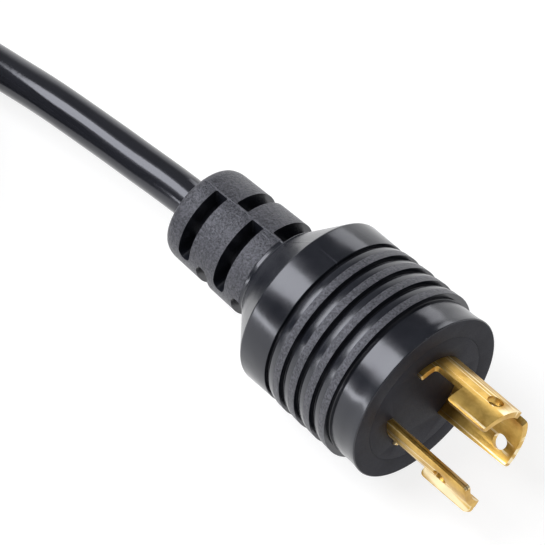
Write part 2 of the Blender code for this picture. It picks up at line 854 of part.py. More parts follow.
def evenly_spaced(fine, spacing):
    total = path_length(fine)
    count = max(2, round(total / spacing))
    points = [fine[0]]
    walked = 0.0
    wanted = total / count
    for start, end in zip(fine, fine[1:]):
        step = (end - start).length
        while len(points) < count and walked + step >= wanted * len(points):
            points.append(start.lerp(end, (wanted * len(points) - walked) / step))
        walked += step
    points.append(fine[-1])
    return points


def path_length(points):
    return sum((end - start).length for start, end in zip(points, points[1:]))


def run_route(plug):
    """From the plug's rear face, drooping to the floor, to where the hank begins."""
    exit_x = plug_face_x(plug) - plug.length - GAP
    high = plug.greatest_radius
    low = CORD_RADIUS + FLOOR_CLEARANCE
    drop = high - low
    shares = (
        (0.000, 0.000),
        (0.004, 0.000),
        (0.009, 0.040),
        (0.017, 0.125),
        (0.026, 0.210),
        (0.035, 0.310),
        (0.044, 0.430),
        (0.055, 0.610),
        (0.066, 0.795),
        (0.077, 0.935),
        (0.088, 1.000),
    )
    route = [Vector((exit_x - along, 0.0, high - drop * share)) for along, share in shares]
    route.append(Vector((HANK_START_X + CORD_DIAMETER + GAP, 0.0, low)))
    return route


def straight_from_exit(route, spacing):
    """The smooth curve, with the route's own first two points kept so that the end stands square."""
    return [route[0], *smooth_curve(route[1:], spacing)]


def fold_radius_at(turns):
    """Radius of the folds after so many turns: in and out again from layer to layer."""
    into_pair = turns % (2 * HANK_LOOPS_PER_LAYER) if turns > 0 else turns
    return FOLD_DIAMETERS * CORD_DIAMETER + HANK_STEP * abs(into_pair - HANK_LOOPS_PER_LAYER)


def hank_run_length(length):
    """Length of the straight runs that uses up the given length of cord in the loops and the tail."""
    folds = math.pi * sum(fold_radius_at(half / 2 + 0.25) for half in range(HANK_RUNS))
    past_waist = STRAP_WIDTH / 2 + CONNECTOR_FROM_STRAP
    return (length - folds - past_waist) / (HANK_RUNS + 0.5)


def hank_height_at(turns):
    """Height of the tube's centre, without the waist's lift: each layer is climbed along a run."""
    height = CORD_RADIUS + FLOOR_CLEARANCE
    for layer in range(1, HANK_LAYERS):
        t = (turns - layer * HANK_LOOPS_PER_LAYER) / (2 * HANK_LEAD_IN) + 0.5
        height += HANK_STEP * smooth_step(min(1.0, max(0.0, t)))
    return height


def hank_waist(run):
    """The middle of the hank, on the floor. Its first run carries straight on from the plug."""
    return Vector((HANK_START_X - run / 2, -fold_radius_at(-HANK_LEAD_IN), 0.0))


def run_point(run, turns, side, along):
    """A point on a near (1) or a far (-1) run, by its distance from the waist towards the plug."""
    outside = max(0.0, abs(along) - WAIST_LENGTH / 2)
    drawn = 1.0 - outside / (run / 2 - WAIST_LENGTH / 2)
    across = side * (fold_radius_at(turns) - WAIST_DRAW * drawn)
    lift = (STRAP_THICKNESS + GAP) * drawn
    return hank_waist(run) + Vector((along, across, hank_height_at(turns) + lift))


def fold_point(run, turns, end, share):
    """A point on a fold, towards the plug (1) or away from it (-1), by its share of the half turn."""
    radius = fold_radius_at(turns)
    along = end * (run / 2 + radius * math.sin(math.pi * share))
    across = -end * radius * math.cos(math.pi * share)
    return hank_waist(run) + Vector((along, across, hank_height_at(turns)))


def hank_points(run):
    """The loops: run, far fold, run back and near fold, over and over, with a straight lead at both ends."""
    points = []
    for half in range(HANK_RUNS):
        side = 1 if half % 2 == 0 else -1
        for along in (run / 2, WAIST_LENGTH / 2, -WAIST_LENGTH / 2):
            turns = half / 2 - 2 * HANK_LEAD_IN * along / run
            points.append(run_point(run, turns, side, side * along))
        for i in range(FOLD_STEPS):
            turns = half / 2 + HANK_LEAD_IN + FOLD_TURNS * i / FOLD_STEPS
            points.append(fold_point(run, turns, -side, i / FOLD_STEPS))
    points = points[: 1 - FOLD_STEPS]
    lead = Vector((CORD_DIAMETER, 0, 0))
    return [points[0] + lead, *points, points[-1] - lead]


def least_gap(points):
    """Least clear distance of a wound tube to itself, over points half a turn or more apart."""
    apart = FOLD_STEPS + 3
    least = min(
        (points[i] - points[j]).length for i in range(len(points)) for j in range(i + apart, len(points))
    )
    return least - CORD_DIAMETER


def connector_rear(run, connector):
    """Where the connector's rear face belongs: on top of the far runs, close to the strap."""
    waist = hank_waist(run)
    edge = waist.y - fold_radius_at(0.5) - CORD_RADIUS
    top = hank_height_at(LAST_TURN) + CORD_RADIUS
    along = waist.x + STRAP_WIDTH / 2 + CONNECTOR_FROM_STRAP
    return Vector((along, edge + connector.greatest_radius, top + GAP + connector.greatest_radius))


def tail_route(run, rear):
    """Round the far fold of the last turn and on to the connector, rising all the way off the top layer."""
    start = run_point(run, LAST_TURN, 1, -run / 2)
    lead = Vector((1.5 * CORD_DIAMETER + GAP, 0, 0))
    far = fold_point(run, LAST_TURN + FOLD_TURNS, -1, 1.0) - lead
    arc = math.pi * fold_radius_at(LAST_TURN)
    straight = rear.x - GAP - CORD_DIAMETER - far.x
    points = [start - Vector((CORD_DIAMETER + GAP, 0, 0))]
    for i in range(TAIL_FOLD_STEPS + 1):
        share = i / TAIL_FOLD_STEPS
        point = fold_point(run, LAST_TURN + FOLD_TURNS * share, -1, share) - lead
        point.z += (rear.z - start.z) * smooth_step(arc * share / (arc + straight))
        points.append(point)
    for i in range(1, TAIL_RISE_STEPS + 1):
        share = i / TAIL_RISE_STEPS
        across = far.y + (rear.y - far.y) * smooth_step(share)
        climbed = smooth_step((arc + straight * share) / (arc + straight))
        points.append(Vector((far.x + straight * share, across, start.z + (rear.z - start.z) * climbed)))
    points.append(rear - Vector((GAP, 0, 0)))
    return points


def strap_outline(waist, inset):
    """The strap's section across the waist, with round corners, drawn in from its outside by an inset."""
    clear = CORD_RADIUS + GAP + WAIST_SPARE + STRAP_THICKNESS - WAIST_DRAW - inset
    corner = CORD_RADIUS + STRAP_THICKNESS - inset
    left = waist.y - fold_radius_at(0.5) - clear + corner
    right = waist.y + fold_radius_at(0.0) + clear - corner
    bottom = inset + corner
    top = hank_height_at(LAST_TURN) + CORD_RADIUS + 2 * (STRAP_THICKNESS + GAP) - inset - corner
    outline = []
    for quarter, (across, height) in enumerate(((right, top), (left, top), (left, bottom), (right, bottom))):
        for i in range(STRAP_CORNER_STEPS + 1):
            angle = math.pi / 2 * (quarter + i / STRAP_CORNER_STEPS)
            outline.append((across + corner * math.cos(angle), height + corner * math.sin(angle)))
    return outline


def strap(run):
    """A hook-and-loop strap round the waist, whose end laps over its start on top."""
    waist = hank_waist(run)
    outer = strap_outline(waist, 0.0)
    inner = strap_outline(waist, STRAP_THICKNESS)
    rear, front = waist.x - STRAP_WIDTH / 2, waist.x + STRAP_WIDTH / 2
    bm = bmesh.new()
    rows = []
    for along, outline in ((rear, outer), (front, outer), (front, inner), (rear, inner)):
        rows.append([bm.verts.new((along, *place)) for place in outline])
    for near, far in zip(rows, rows[1:] + rows[:1]):
        for k in range(len(near)):
            m = (k + 1) % len(near)
            bm.faces.new((near[k], near[m], far[m], far[k]))
    bmesh.ops.recalc_face_normals(bm, faces=bm.faces)
    body = mesh_object("cord_strap", bm, STRAP_FABRIC, None)
    lap = bmesh.new()
    middle = Vector((waist.x, waist.y, max(height for _, height in outer) + STRAP_THICKNESS / 4))
    size = Vector((STRAP_WIDTH - 2 * GAP, STRAP_LAP, 1.5 * STRAP_THICKNESS))
    bmesh.ops.create_cube(lap, size=1.0, matrix=Matrix.Translation(middle) @ Matrix.Diagonal((*size, 1.0)))
    boolean(body, lap, "UNION")


def build_cord(plug, connector):
    """The stretches of cord and the strap. It returns where the connector's rear face belongs."""
    free = straight_from_exit(run_route(plug), 2 * CORD_DIAMETER)
    tube("cord_run", free, CORD_RADIUS, JACKET_PVC, None, resolution=3)
    run = hank_run_length(CORD_LENGTH - path_length(free))
    wound = hank_points(run)
    tube("cord_hank", wound, CORD_RADIUS, JACKET_PVC, None, resolution=1)
    print(f"least gap of the hank to itself: {least_gap(wound) * 1000:.2f} mm")
    strap(run)
    rear = connector_rear(run, connector)
    tail = tail_route(run, rear)
    tube("cord_tail", tail, CORD_RADIUS, JACKET_PVC, None, resolution=3)
    total = path_length(free) + path_length(wound) + path_length(tail)
    print(f"cord length: {total:.3f} m, of which wound {path_length(wound):.3f} m, runs {run * 1000:.1f} mm")
    return rear


def main():
    clear_scene()
    blades = [
        Blade(
            name="ground",
            angle=GROUND_BLADE_ANGLE,
            width=GROUND_BLADE_WIDTH,
            length=GROUND_BLADE_LENGTH,
            foot_height=GROUND_FOOT_HEIGHT,
            notch_depth=GROUND_NOTCH_DEPTH,
            hole_inset=GROUND_HOLE_INSET,
            flanged=True,
            core=GREEN_CORE,
        )
    ]
    lines = zip(LINE_BLADE_ANGLES, LINE_HOLE_INSETS, (BLACK_CORE, WHITE_CORE))
    for number, (angle, hole_inset, core) in enumerate(lines, start=1):
        line = Blade(
            name=f"line_{number}",
            angle=angle,
            width=LINE_BLADE_WIDTH,
            length=LINE_BLADE_LENGTH,
            foot_height=BLADE_FOOT_HEIGHT,
            notch_depth=NOTCH_DEPTH,
            hole_inset=hole_inset,
            flanged=False,
            core=core,
        )
        blades.append(line)
    plug = Moulding(
        name="plug",
        rim_radius=PLUG_RIM_RADIUS,
        rib_count=PLUG_RIB_COUNT,
        rear_band_length=PLUG_REAR_BAND_LENGTH,
        pocket_radius=CARRIER_RADIUS,
        pocket_depth=CARRIER_THICKNESS + GAP,
        wiring_depth=-plug_barrel_ends()[1] + GAP,
    )
    connector = Moulding(
        name="connector",
        rim_radius=CONNECTOR_RIM_RADIUS,
        rib_count=CONNECTOR_RIB_COUNT,
        rear_band_length=CONNECTOR_REAR_BAND_LENGTH,
        pocket_radius=CONNECTOR_INSERT_RADIUS,
        pocket_depth=ENTRY_THICKNESS + HOUSING_DEPTH + 2 * GAP,
        wiring_depth=-connector_barrel_back() + GAP,
    )
    build_plug(plug, blades)
    rear = build_cord(plug, connector)
    build_connector(connector, blades, rear)


main()
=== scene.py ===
"""Dresses the shore power cord: moulded locking plug, lead folded into a strapped hank, and connector.

Lengths are in metres. The plug lies along X with its blades towards +X, and angles round a moulding run from
its top towards +Y. A moulding's own X is zero at its face.
"""

import logging
import math
from collections.abc import Callable, Iterable, Sequence
from dataclasses import dataclass, field
from enum import Enum

import bmesh
import bpy
from mathutils import Matrix, Vector


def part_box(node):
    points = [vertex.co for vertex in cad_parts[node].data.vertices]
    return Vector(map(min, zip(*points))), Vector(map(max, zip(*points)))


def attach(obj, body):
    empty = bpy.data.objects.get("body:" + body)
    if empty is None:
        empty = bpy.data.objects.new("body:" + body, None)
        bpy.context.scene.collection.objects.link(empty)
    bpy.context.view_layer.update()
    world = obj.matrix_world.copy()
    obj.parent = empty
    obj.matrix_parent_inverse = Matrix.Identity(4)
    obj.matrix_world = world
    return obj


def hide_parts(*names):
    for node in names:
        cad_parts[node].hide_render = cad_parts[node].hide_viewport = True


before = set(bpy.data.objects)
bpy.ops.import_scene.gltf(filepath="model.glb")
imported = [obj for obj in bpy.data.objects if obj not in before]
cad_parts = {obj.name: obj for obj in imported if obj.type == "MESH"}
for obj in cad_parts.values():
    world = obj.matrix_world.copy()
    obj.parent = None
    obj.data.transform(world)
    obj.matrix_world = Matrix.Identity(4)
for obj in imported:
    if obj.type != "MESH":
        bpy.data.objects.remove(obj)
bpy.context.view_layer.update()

Object = bpy.types.Object
Material = bpy.types.Material
Socket = bpy.types.NodeSocket
Mesh = bmesh.types.BMesh
Strips = list[list[bmesh.types.BMFace]]
Colour = tuple[float, float, float]
Direction = tuple[float, float, float]
Span = tuple[float, float]

MM = 0.001
OVERSHOOT = 1 * MM  # how far a cutting tool reaches past the piece that it cuts
WAVE_FACTOR = 20.0  # radians of Blender's Wave Texture per unit of its scale
CORNER_STEPS = 8  # stretches of a slot's rounded corner
MOST_REACH = 0.48  # share of a side that one corner's rounding may take
CORES = ("ground", "line_1", "line_2")
log = logging.getLogger("shore_power_cord")


class Slot(Enum):
    """Names of material slots, which no piece in this script takes."""

    BLACK_PVC = "black_pvc"
    JACKET_PVC = "jacket_pvc"
    INSERT_PLASTIC = "insert_plastic"
    BRASS = "brass"
    STRAP_FABRIC = "strap_fabric"


class Skin(Enum):
    """The skins of an overmould, in the order of its material slots."""

    GLOSSY = 0
    GRAINED = 1
    FACE = 2


class Operation(Enum):
    """What a tool does to the piece that it is set against."""

    CUT = "DIFFERENCE"
    JOIN = "UNION"


# ------------------------------------------------------------------ finishes


@dataclass(frozen=True)
class Grain:
    """Fractal noise: the size of its largest features, its number of finer layers and their strength."""

    size: float
    detail: float = 2.0
    roughness: float = 0.5


class NodeSheet:
    """The node tree of one finish or of the surroundings, with short ways to add its nodes."""

    def __init__(self, owner: Material | bpy.types.World, shader: str, coordinates: str) -> None:
        """Starts a tree.

        Args:
            owner: The material or the world that it belongs to.
            shader: The name of the shader that it ends in.
            coordinates: The output of Texture Coordinate that its patterns follow.
        """
        owner.use_nodes = True
        self.owner = owner
        self.tree = owner.node_tree
        self.shader = self.tree.nodes[shader]
        self.place = self.tree.nodes.new("ShaderNodeTexCoord").outputs[coordinates]

    @classmethod
    def of_material(cls, name: str, coordinates: str = "Object") -> "NodeSheet":
        """Starts the tree of a new material."""
        return cls(bpy.data.materials.new(name), "Principled BSDF", coordinates)

    def add(self, kind: str, inputs: dict[str | int, object], **settings: object) -> bpy.types.Node:
        """Adds a node.

        Args:
            kind: The node's type name without its ShaderNode prefix.
            inputs: Values or output sockets by the name or number of the input.
            **settings: The node's own properties.

        Returns:
            The node.
        """
        node = self.tree.nodes.new("ShaderNode" + kind)
        for key, value in settings.items():
            setattr(node, key, value)
        for key, value in inputs.items():
            self.feed(node.inputs[key], value)
        return node

    def feed(self, socket: Socket, value: object) -> None:
        """Links an output to an input, or sets the input's value.

        Args:
            socket: The input.
            value: An output socket, or the value.
        """
        if isinstance(value, Socket):
            self.tree.links.new(value, socket)
        else:
            socket.default_value = value

    def mapped(self, **change: Sequence[float]) -> Socket:
        """The coordinates under a Scale or a Rotation."""
        return self.add("Mapping", {"Vector": self.place, **change}).outputs["Vector"]

    def noise(self, grain: Grain, vector: Socket | None = None) -> Socket:
        """Fractal noise.

        Args:
            grain: Its size and layers.
            vector: Coordinates other than the sheet's own.

        Returns:
            A value about 0.5.
        """
        inputs = {"Vector": vector or self.place, "Scale": 1 / grain.size}
        inputs |= {"Detail": grain.detail, "Roughness": grain.roughness}
        return self.add("TexNoise", inputs).outputs["Fac"]

    def cells(self, size: float, smoothness: float = 0.4) -> Socket:
        """The distance to the middle of soft round cells of the given size."""
        inputs = {"Vector": self.place, "Scale": 1 / size, "Smoothness": smoothness}
        return self.add("TexVoronoi", inputs, feature="SMOOTH_F1").outputs["Distance"]

    def waves(self, pitch: float, direction: str, vector: Socket | None = None, **more: float) -> Socket:
        """Waves at a pitch in metres along an axis of the coordinates."""
        inputs = {"Vector": vector or self.place, "Scale": math.tau / WAVE_FACTOR / pitch, **more}
        return self.add("TexWave", inputs, bands_direction=direction).outputs["Fac"]

    def spread(self, value: Socket, onto: Span = (0.0, 1.0), span: Span = (0.3, 0.7)) -> Socket:
        """Maps a span of a value onto another span.

        Args:
            value: The value.
            onto: What it becomes at the span's two ends.
            span: Where it starts and stops to change.

        Returns:
            The mapped value.
        """
        (bottom, top), (low, high) = span, onto
        inputs = {"Value": value, "From Min": bottom, "From Max": top, "To Min": low, "To Max": high}
        return self.add("MapRange", inputs).outputs["Result"]

    def blend(self, share: Socket, first: Socket | Colour, second: Colour) -> Socket:
        """Mixes two colours.

        Args:
            share: How much of the second there is, from 0 to 1.
            first: A colour, or a pattern of colours.
            second: The other colour.

        Returns:
            The mixed colour.
        """
        start = first if isinstance(first, Socket) else (*first, 1.0)
        inputs = {"Factor": share, "A": start, "B": (*second, 1.0)}
        return self.add("Mix", inputs, data_type="RGBA").outputs["Result"]

    def sum(self, first: Socket, second: Socket, share: float) -> Socket:
        """The first value plus a share of the second."""
        return self.add("Math", {0: second, 1: share, 2: first}, operation="MULTIPLY_ADD").outputs["Value"]

    def relief(self, height: Socket, depth: float, under: Socket | None = None) -> Socket:
        """A bump.

        Args:
            height: Its pattern.
            depth: Its depth in metres.
            under: Another bump that it lies on.

        Returns:
            The bent normal.
        """
        inputs = {"Height": height, "Strength": 1.0, "Distance": depth}
        if under is not None:
            inputs["Normal"] = under
        return self.add("Bump", inputs).outputs["Normal"]

    def edges(self, span: Span) -> Socket:
        """A share that is 1 on outer edges and 0 elsewhere."""
        return self.spread(self.add("NewGeometry", {}).outputs["Pointiness"], span=span)

    def surface(self, **sockets: object) -> None:
        """Sets or links inputs of the shader, with underscores for the spaces in their names."""
        for key, value in sockets.items():
            self.feed(self.shader.inputs[key.replace("_", " ")], value)


@dataclass(frozen=True)
class GlossyPvc:
    """Soft PVC as it leaves a polished mould: deep black, with a faint haze and fine scuffs, and a paler
    colour on its sharp outer edges that is partly wear and partly a painted edge highlight.
    """

    name: str
    colour: Colour = (0.0085, 0.0095, 0.0135)
    haze_colour: Colour = (0.0140, 0.0152, 0.0205)
    # paler colour on sharp outer edges: partly wear, partly a painted edge highlight
    edge_wear_and_highlight_colour: Colour = (0.034, 0.036, 0.044)
    edge_wear_and_highlight_span: Span = (0.53, 0.62)
    sheen_tint: Colour = (0.92, 0.93, 1.0)
    index: float = 1.60
    roughness: Span = (0.13, 0.25)
    roughness_span: Span = (0.4, 0.85)
    haze: Grain = Grain(7 * MM, 5.0, 0.65)
    swell: Grain = Grain(4.5 * MM, 1.0)
    swell_depth: float = 0.060 * MM
    scuffs: Grain = Grain(0.5 * MM, 3.0, 0.65)
    scuff_share: float = 0.25
    scuff_depth: float = 0.0022 * MM

    def material(self) -> Material:
        """Builds the material.

        Returns:
            The new material.
        """
        sheet = NodeSheet.of_material(self.name)
        haze, scuffs = sheet.noise(self.haze), sheet.noise(self.scuffs)
        tone = sheet.blend(sheet.spread(haze), self.colour, self.haze_colour)
        rubs = sheet.sum(haze, scuffs, self.scuff_share)
        swell = sheet.relief(sheet.noise(self.swell), self.swell_depth)
        sheet.surface(
            # sharp outer edges are painted paler: partly wear, partly a painted highlight
            Base_Color=sheet.blend(sheet.edges(self.edge_wear_and_highlight_span), tone, self.edge_wear_and_highlight_colour),
            Roughness=sheet.spread(rubs, self.roughness, self.roughness_span),
            IOR=self.index,
            Specular_Tint=(*self.sheen_tint, 1.0),
            Normal=sheet.relief(scuffs, self.scuff_depth, swell),
        )
        return sheet.owner


@dataclass(frozen=True)
class GrainedPvc:
    """Soft PVC from a spark-eroded mould: a matt grain whose peaks glitter a little, with a painted glint
    that colours the grain's high points paler.
    """

    name: str
    colour: Colour = (0.0085, 0.0088, 0.0120)
    # painted glint: the colour of the grain's high points
    peak_colour: Colour = (0.085, 0.085, 0.100)
    peak_span: Span = (0.50, 0.85)
    sheen_tint: Colour = (0.90, 0.91, 1.0)
    index: float = 1.56
    roughness: Span = (0.24, 0.46)
    grain: Grain = Grain(0.50 * MM, 3.0, 0.7)
    pit_size: float = 0.40 * MM
    pit_share: float = 0.35
    grain_depth: float = 0.20 * MM
    fine: Grain = Grain(0.28 * MM, 2.0, 0.6)
    fine_depth: float = 0.060 * MM

    def material(self) -> Material:
        """Builds the material.

        Returns:
            The new material.
        """
        sheet = NodeSheet.of_material(self.name)
        height = sheet.sum(sheet.noise(self.grain), sheet.cells(self.pit_size), self.pit_share)
        fine = sheet.noise(self.fine)
        coarse = sheet.relief(height, self.grain_depth)
        sheet.surface(
            # the grain's high points are painted paler as a glint
            Base_Color=sheet.blend(sheet.spread(height, span=self.peak_span), self.colour, self.peak_colour),
            Roughness=sheet.spread(fine, self.roughness),
            IOR=self.index,
            Specular_Tint=(*self.sheen_tint, 1.0),
            Normal=sheet.relief(fine, self.fine_depth, coarse),
        )
        return sheet.owner


@dataclass(frozen=True)
class ExtrudedPvc:
    """A cord's jacket: glossy, with faint lines along it from the die. Its UV map is in metres."""

    name: str
    colour: Colour = (0.0125, 0.0130, 0.0165)
    haze_colour: Colour = (0.0210, 0.0217, 0.0270)
    sheen_tint: Colour = (0.90, 0.91, 1.0)
    index: float = 1.58
    roughness: Span = (0.10, 0.19)
    roughness_span: Span = (0.42, 0.9)
    lines: Grain = Grain(0.45 * MM, 2.0, 0.55)
    line_stretch: float = 0.03
    line_depth: float = 0.006 * MM
    wrinkles: Grain = Grain(2.6 * MM)
    wrinkle_depth: float = 0.020 * MM
    haze: Grain = Grain(10 * MM, 4.0, 0.6)
    haze_stretch: float = 0.35
    scuffs: Grain = Grain(0.5 * MM, 3.0, 0.6)
    scuff_share: float = 0.3
    scuff_depth: float = 0.002 * MM

    def material(self) -> Material:
        """Builds the material.

        Returns:
            The new material.
        """
        sheet = NodeSheet.of_material(self.name, "UV")
        lines = sheet.noise(self.lines, sheet.mapped(Scale=(self.line_stretch, 1.0, 1.0)))
        haze = sheet.noise(self.haze, sheet.mapped(Scale=(self.haze_stretch, 1.0, 1.0)))
        scuffs = sheet.noise(self.scuffs)
        rubs = sheet.sum(haze, scuffs, self.scuff_share)
        die_lines = sheet.relief(lines, self.line_depth)
        under = sheet.relief(sheet.noise(self.wrinkles), self.wrinkle_depth, die_lines)
        sheet.surface(
            Base_Color=sheet.blend(sheet.spread(haze), self.colour, self.haze_colour),
            Roughness=sheet.spread(rubs, self.roughness, self.roughness_span),
            IOR=self.index,
            Specular_Tint=(*self.sheen_tint, 1.0),
            Normal=sheet.relief(scuffs, self.scuff_depth, under),
        )
        return sheet.owner


@dataclass(frozen=True)
class FacePlastic:
    """A flat face: a dull, finely etched skin with a few pale rubs."""

    name: str
    colour: Colour = (0.0112, 0.0117, 0.0200)
    peak_colour: Colour = (0.0250, 0.0258, 0.0390)
    peak_span: Span = (0.6, 1.0)
    specular: float = 0.20
    index: float = 1.52
    roughness: Span = (0.48, 0.66)
    grain: Grain = Grain(0.36 * MM, 3.0, 0.65)
    grain_share: float = 0.6
    grain_depth: float = 0.030 * MM
    broad: Grain = Grain(5 * MM, 4.0, 0.6)

    def material(self) -> Material:
        """Builds the material.

        Returns:
            The new material.
        """
        sheet = NodeSheet.of_material(self.name)
        grain = sheet.noise(self.grain)
        tone = sheet.sum(sheet.noise(self.broad), grain, self.grain_share)
        sheet.surface(
            Base_Color=sheet.blend(sheet.spread(tone, span=self.peak_span), self.colour, self.peak_colour),
            Roughness=sheet.spread(grain, self.roughness),
            IOR=self.index,
            Specular_IOR_Level=self.specular,
            Normal=sheet.relief(grain, self.grain_depth),
        )
        return sheet.owner


@dataclass(frozen=True)
class StampedBrass:
    """Rolled and stamped brass: fine lines along X, faint stains, and pale edges that are partly rubbed brass
    and partly a painted highlight.
    """

    name: str
    colour: Colour = (0.74, 0.490, 0.135)
    stain: Colour = (0.50, 0.285, 0.060)
    # pale colour on sharp edges: partly rubbed brass, partly a painted highlight
    rubbed_and_highlight_colour: Colour = (0.95, 0.80, 0.50)
    rubbed_and_highlight_span: Span = (0.53, 0.60)
    roughness: Span = (0.34, 0.47)
    roughness_span: Span = (0.55, 0.95)
    lines: Grain = Grain(0.24 * MM, 2.0, 0.6)
    line_stretch: float = 0.06
    line_share: float = 0.5
    line_depth: float = 0.0025 * MM
    stains: Grain = Grain(3.4 * MM, 5.0, 0.65)
    stain_span: Span = (0.34, 0.62)
    dents: Grain = Grain(3.0 * MM)
    dent_depth: float = 0.012 * MM

    def material(self) -> Material:
        """Builds the material.

        Returns:
            The new material.
        """
        sheet = NodeSheet.of_material(self.name)
        lines = sheet.noise(self.lines, sheet.mapped(Scale=(self.line_stretch, 1.0, 1.0)))
        stains = sheet.noise(self.stains)
        metal = sheet.blend(sheet.spread(stains, (1.0, 0.0), self.stain_span), self.colour, self.stain)
        wear = sheet.sum(stains, lines, self.line_share)
        dents = sheet.relief(sheet.noise(self.dents), self.dent_depth)
        sheet.surface(
            # sharp edges are painted pale: partly rubbed brass, partly a painted highlight
            Base_Color=sheet.blend(sheet.edges(self.rubbed_and_highlight_span), metal, self.rubbed_and_highlight_colour),
            Metallic=1.0,
            Roughness=sheet.spread(wear, self.roughness, self.roughness_span),
            Normal=sheet.relief(lines, self.line_depth, dents),
        )
        return sheet.owner


@dataclass(frozen=True)
class StrandedCopper:
    """Bare twisted strands: slanting ridges on a round bundle."""

    name: str
    colour: Colour = (0.80, 0.40, 0.24)
    shade: Colour = (0.42, 0.17, 0.09)
    roughness: Span = (0.22, 0.42)
    slant: Direction = (0.0, 0.5, 0.6)
    strand_pitch: float = 0.75921 * MM
    unevenness: float = 0.4
    ridge_depth: float = 0.09 * MM
    tarnish: Grain = Grain(0.8 * MM, 3.0)

    def material(self) -> Material:
        """Builds the material.

        Returns:
            The new material.
        """
        sheet = NodeSheet.of_material(self.name)
        slanted = sheet.mapped(Rotation=self.slant)
        ridges = sheet.waves(self.strand_pitch, "Z", slanted, Distortion=self.unevenness)
        tarnish = sheet.noise(self.tarnish)
        sheet.surface(
            Base_Color=sheet.blend(sheet.spread(tarnish), self.colour, self.shade),
            Metallic=1.0,
            Roughness=sheet.spread(tarnish, self.roughness),
            Normal=sheet.relief(ridges, self.ridge_depth),
        )
        return sheet.owner


@dataclass(frozen=True)
class CoreInsulation:
    """The coloured insulation of one core."""

    name: str
    colour: Colour
    paler: float = 1.25
    chalkiness: float = 0.01
    index: float = 1.5
    roughness: Span = (0.35, 0.55)
    haze: Grain = Grain(2.5 * MM, 4.0, 0.6)
    chalk: Grain = Grain(0.2 * MM)
    chalk_depth: float = 0.004 * MM

    def material(self) -> Material:
        """Builds the material.

        Returns:
            The new material.
        """
        sheet = NodeSheet.of_material(self.name)
        haze = sheet.noise(self.haze)
        pale = tuple(min(1.0, self.paler * part + self.chalkiness) for part in self.colour)
        sheet.surface(
            Base_Color=sheet.blend(sheet.spread(haze), self.colour, pale),
            Roughness=sheet.spread(haze, self.roughness),
            IOR=self.index,
            Normal=sheet.relief(sheet.noise(self.chalk), self.chalk_depth),
        )
        return sheet.owner


@dataclass(frozen=True)
class StrapFabric:
    """Hook-and-loop tape: a soft nap of fine loops over ribs that run across, painted paler on its raised
    loops and ribs than in their hollows as shade, and paler in worn patches. Its UV map is in metres.
    """

    name: str
    colour: Colour = (0.011, 0.011, 0.013)
    # raised loops and ribs painted paler than their hollows as shade; worn patches paler too
    lit_and_worn_nap_colour: Colour = (0.045, 0.045, 0.050)
    lit_and_worn_nap_span: Span = (0.35, 1.1)
    roughness: Span = (0.82, 0.98)
    sheen: float = 0.35
    sheen_roughness: float = 0.5
    rib_pitch: float = 0.9 * MM
    rib_share: float = 0.35
    rib_depth: float = 0.10 * MM
    rib_unevenness: float = 1.2
    loop_size: float = 0.42 * MM
    loop_smoothness: float = 0.25
    loop_depth: float = 0.16 * MM
    fuzz: Grain = Grain(0.21 * MM, 3.0, 0.7)
    fuzz_share: float = 0.4
    wear: Grain = Grain(14 * MM, 4.0, 0.6)
    wear_share: float = 0.5

    def material(self) -> Material:
        """Builds the material.

        Returns:
            The new material.
        """
        sheet = NodeSheet.of_material(self.name, "UV")
        ribs = sheet.waves(self.rib_pitch, "X", Distortion=self.rib_unevenness, Detail=2.0)
        loops = sheet.cells(self.loop_size, self.loop_smoothness)
        fuzz = sheet.noise(self.fuzz)
        # painted shade: hollows between loops and ribs darker, plus random wear
        shade = sheet.sum(sheet.sum(loops, ribs, self.rib_share), sheet.noise(self.wear), self.wear_share)
        pile = sheet.sum(loops, fuzz, self.fuzz_share)
        sheet.surface(
            Base_Color=sheet.blend(sheet.spread(shade, span=self.lit_and_worn_nap_span), self.colour, self.lit_and_worn_nap_colour),
            Roughness=sheet.spread(fuzz, self.roughness),
            Normal=sheet.relief(pile, self.loop_depth, sheet.relief(ribs, self.rib_depth)),
            Sheen_Weight=self.sheen,
            Sheen_Roughness=self.sheen_roughness,
        )
        return sheet.owner


@dataclass(frozen=True)
class SewingThread:
    """Twisted polyester thread, painted darker in the grooves of its twist as shade."""

    name: str
    colour: Colour = (0.030, 0.030, 0.034)
    # painted shade: the colour in the grooves of the twist
    shade: Colour = (0.012, 0.012, 0.014)
    roughness: Span = (0.5, 0.75)
    slant: Direction = (0.0, 0.0, 0.7)
    twist_pitch: float = 0.35 * MM
    twist_depth: float = 0.05 * MM
    fibres: Grain = Grain(0.12 * MM, 2.0, 0.6)
    fibre_share: float = 0.3

    def material(self) -> Material:
        """Builds the material.

        Returns:
            The new material.
        """
        sheet = NodeSheet.of_material(self.name)
        twist = sheet.waves(self.twist_pitch, "X", sheet.mapped(Rotation=self.slant))
        fibres = sheet.noise(self.fibres)
        sheet.surface(
            # the twist's grooves are painted darker as shade
            Base_Color=sheet.blend(twist, self.shade, self.colour),
            Roughness=sheet.spread(fibres, self.roughness),
            Normal=sheet.relief(sheet.sum(twist, fibres, self.fibre_share), self.twist_depth),
        )
        return sheet.owner


# ------------------------------------------------------------------ making meshes


@dataclass(frozen=True)
class Corner:
    """A corner of an outline: its place, its rounding's reach, and the skin of the stretch after it."""

    a: float
    b: float
    reach: float = 0.0
    skin: Skin = Skin.GLOSSY


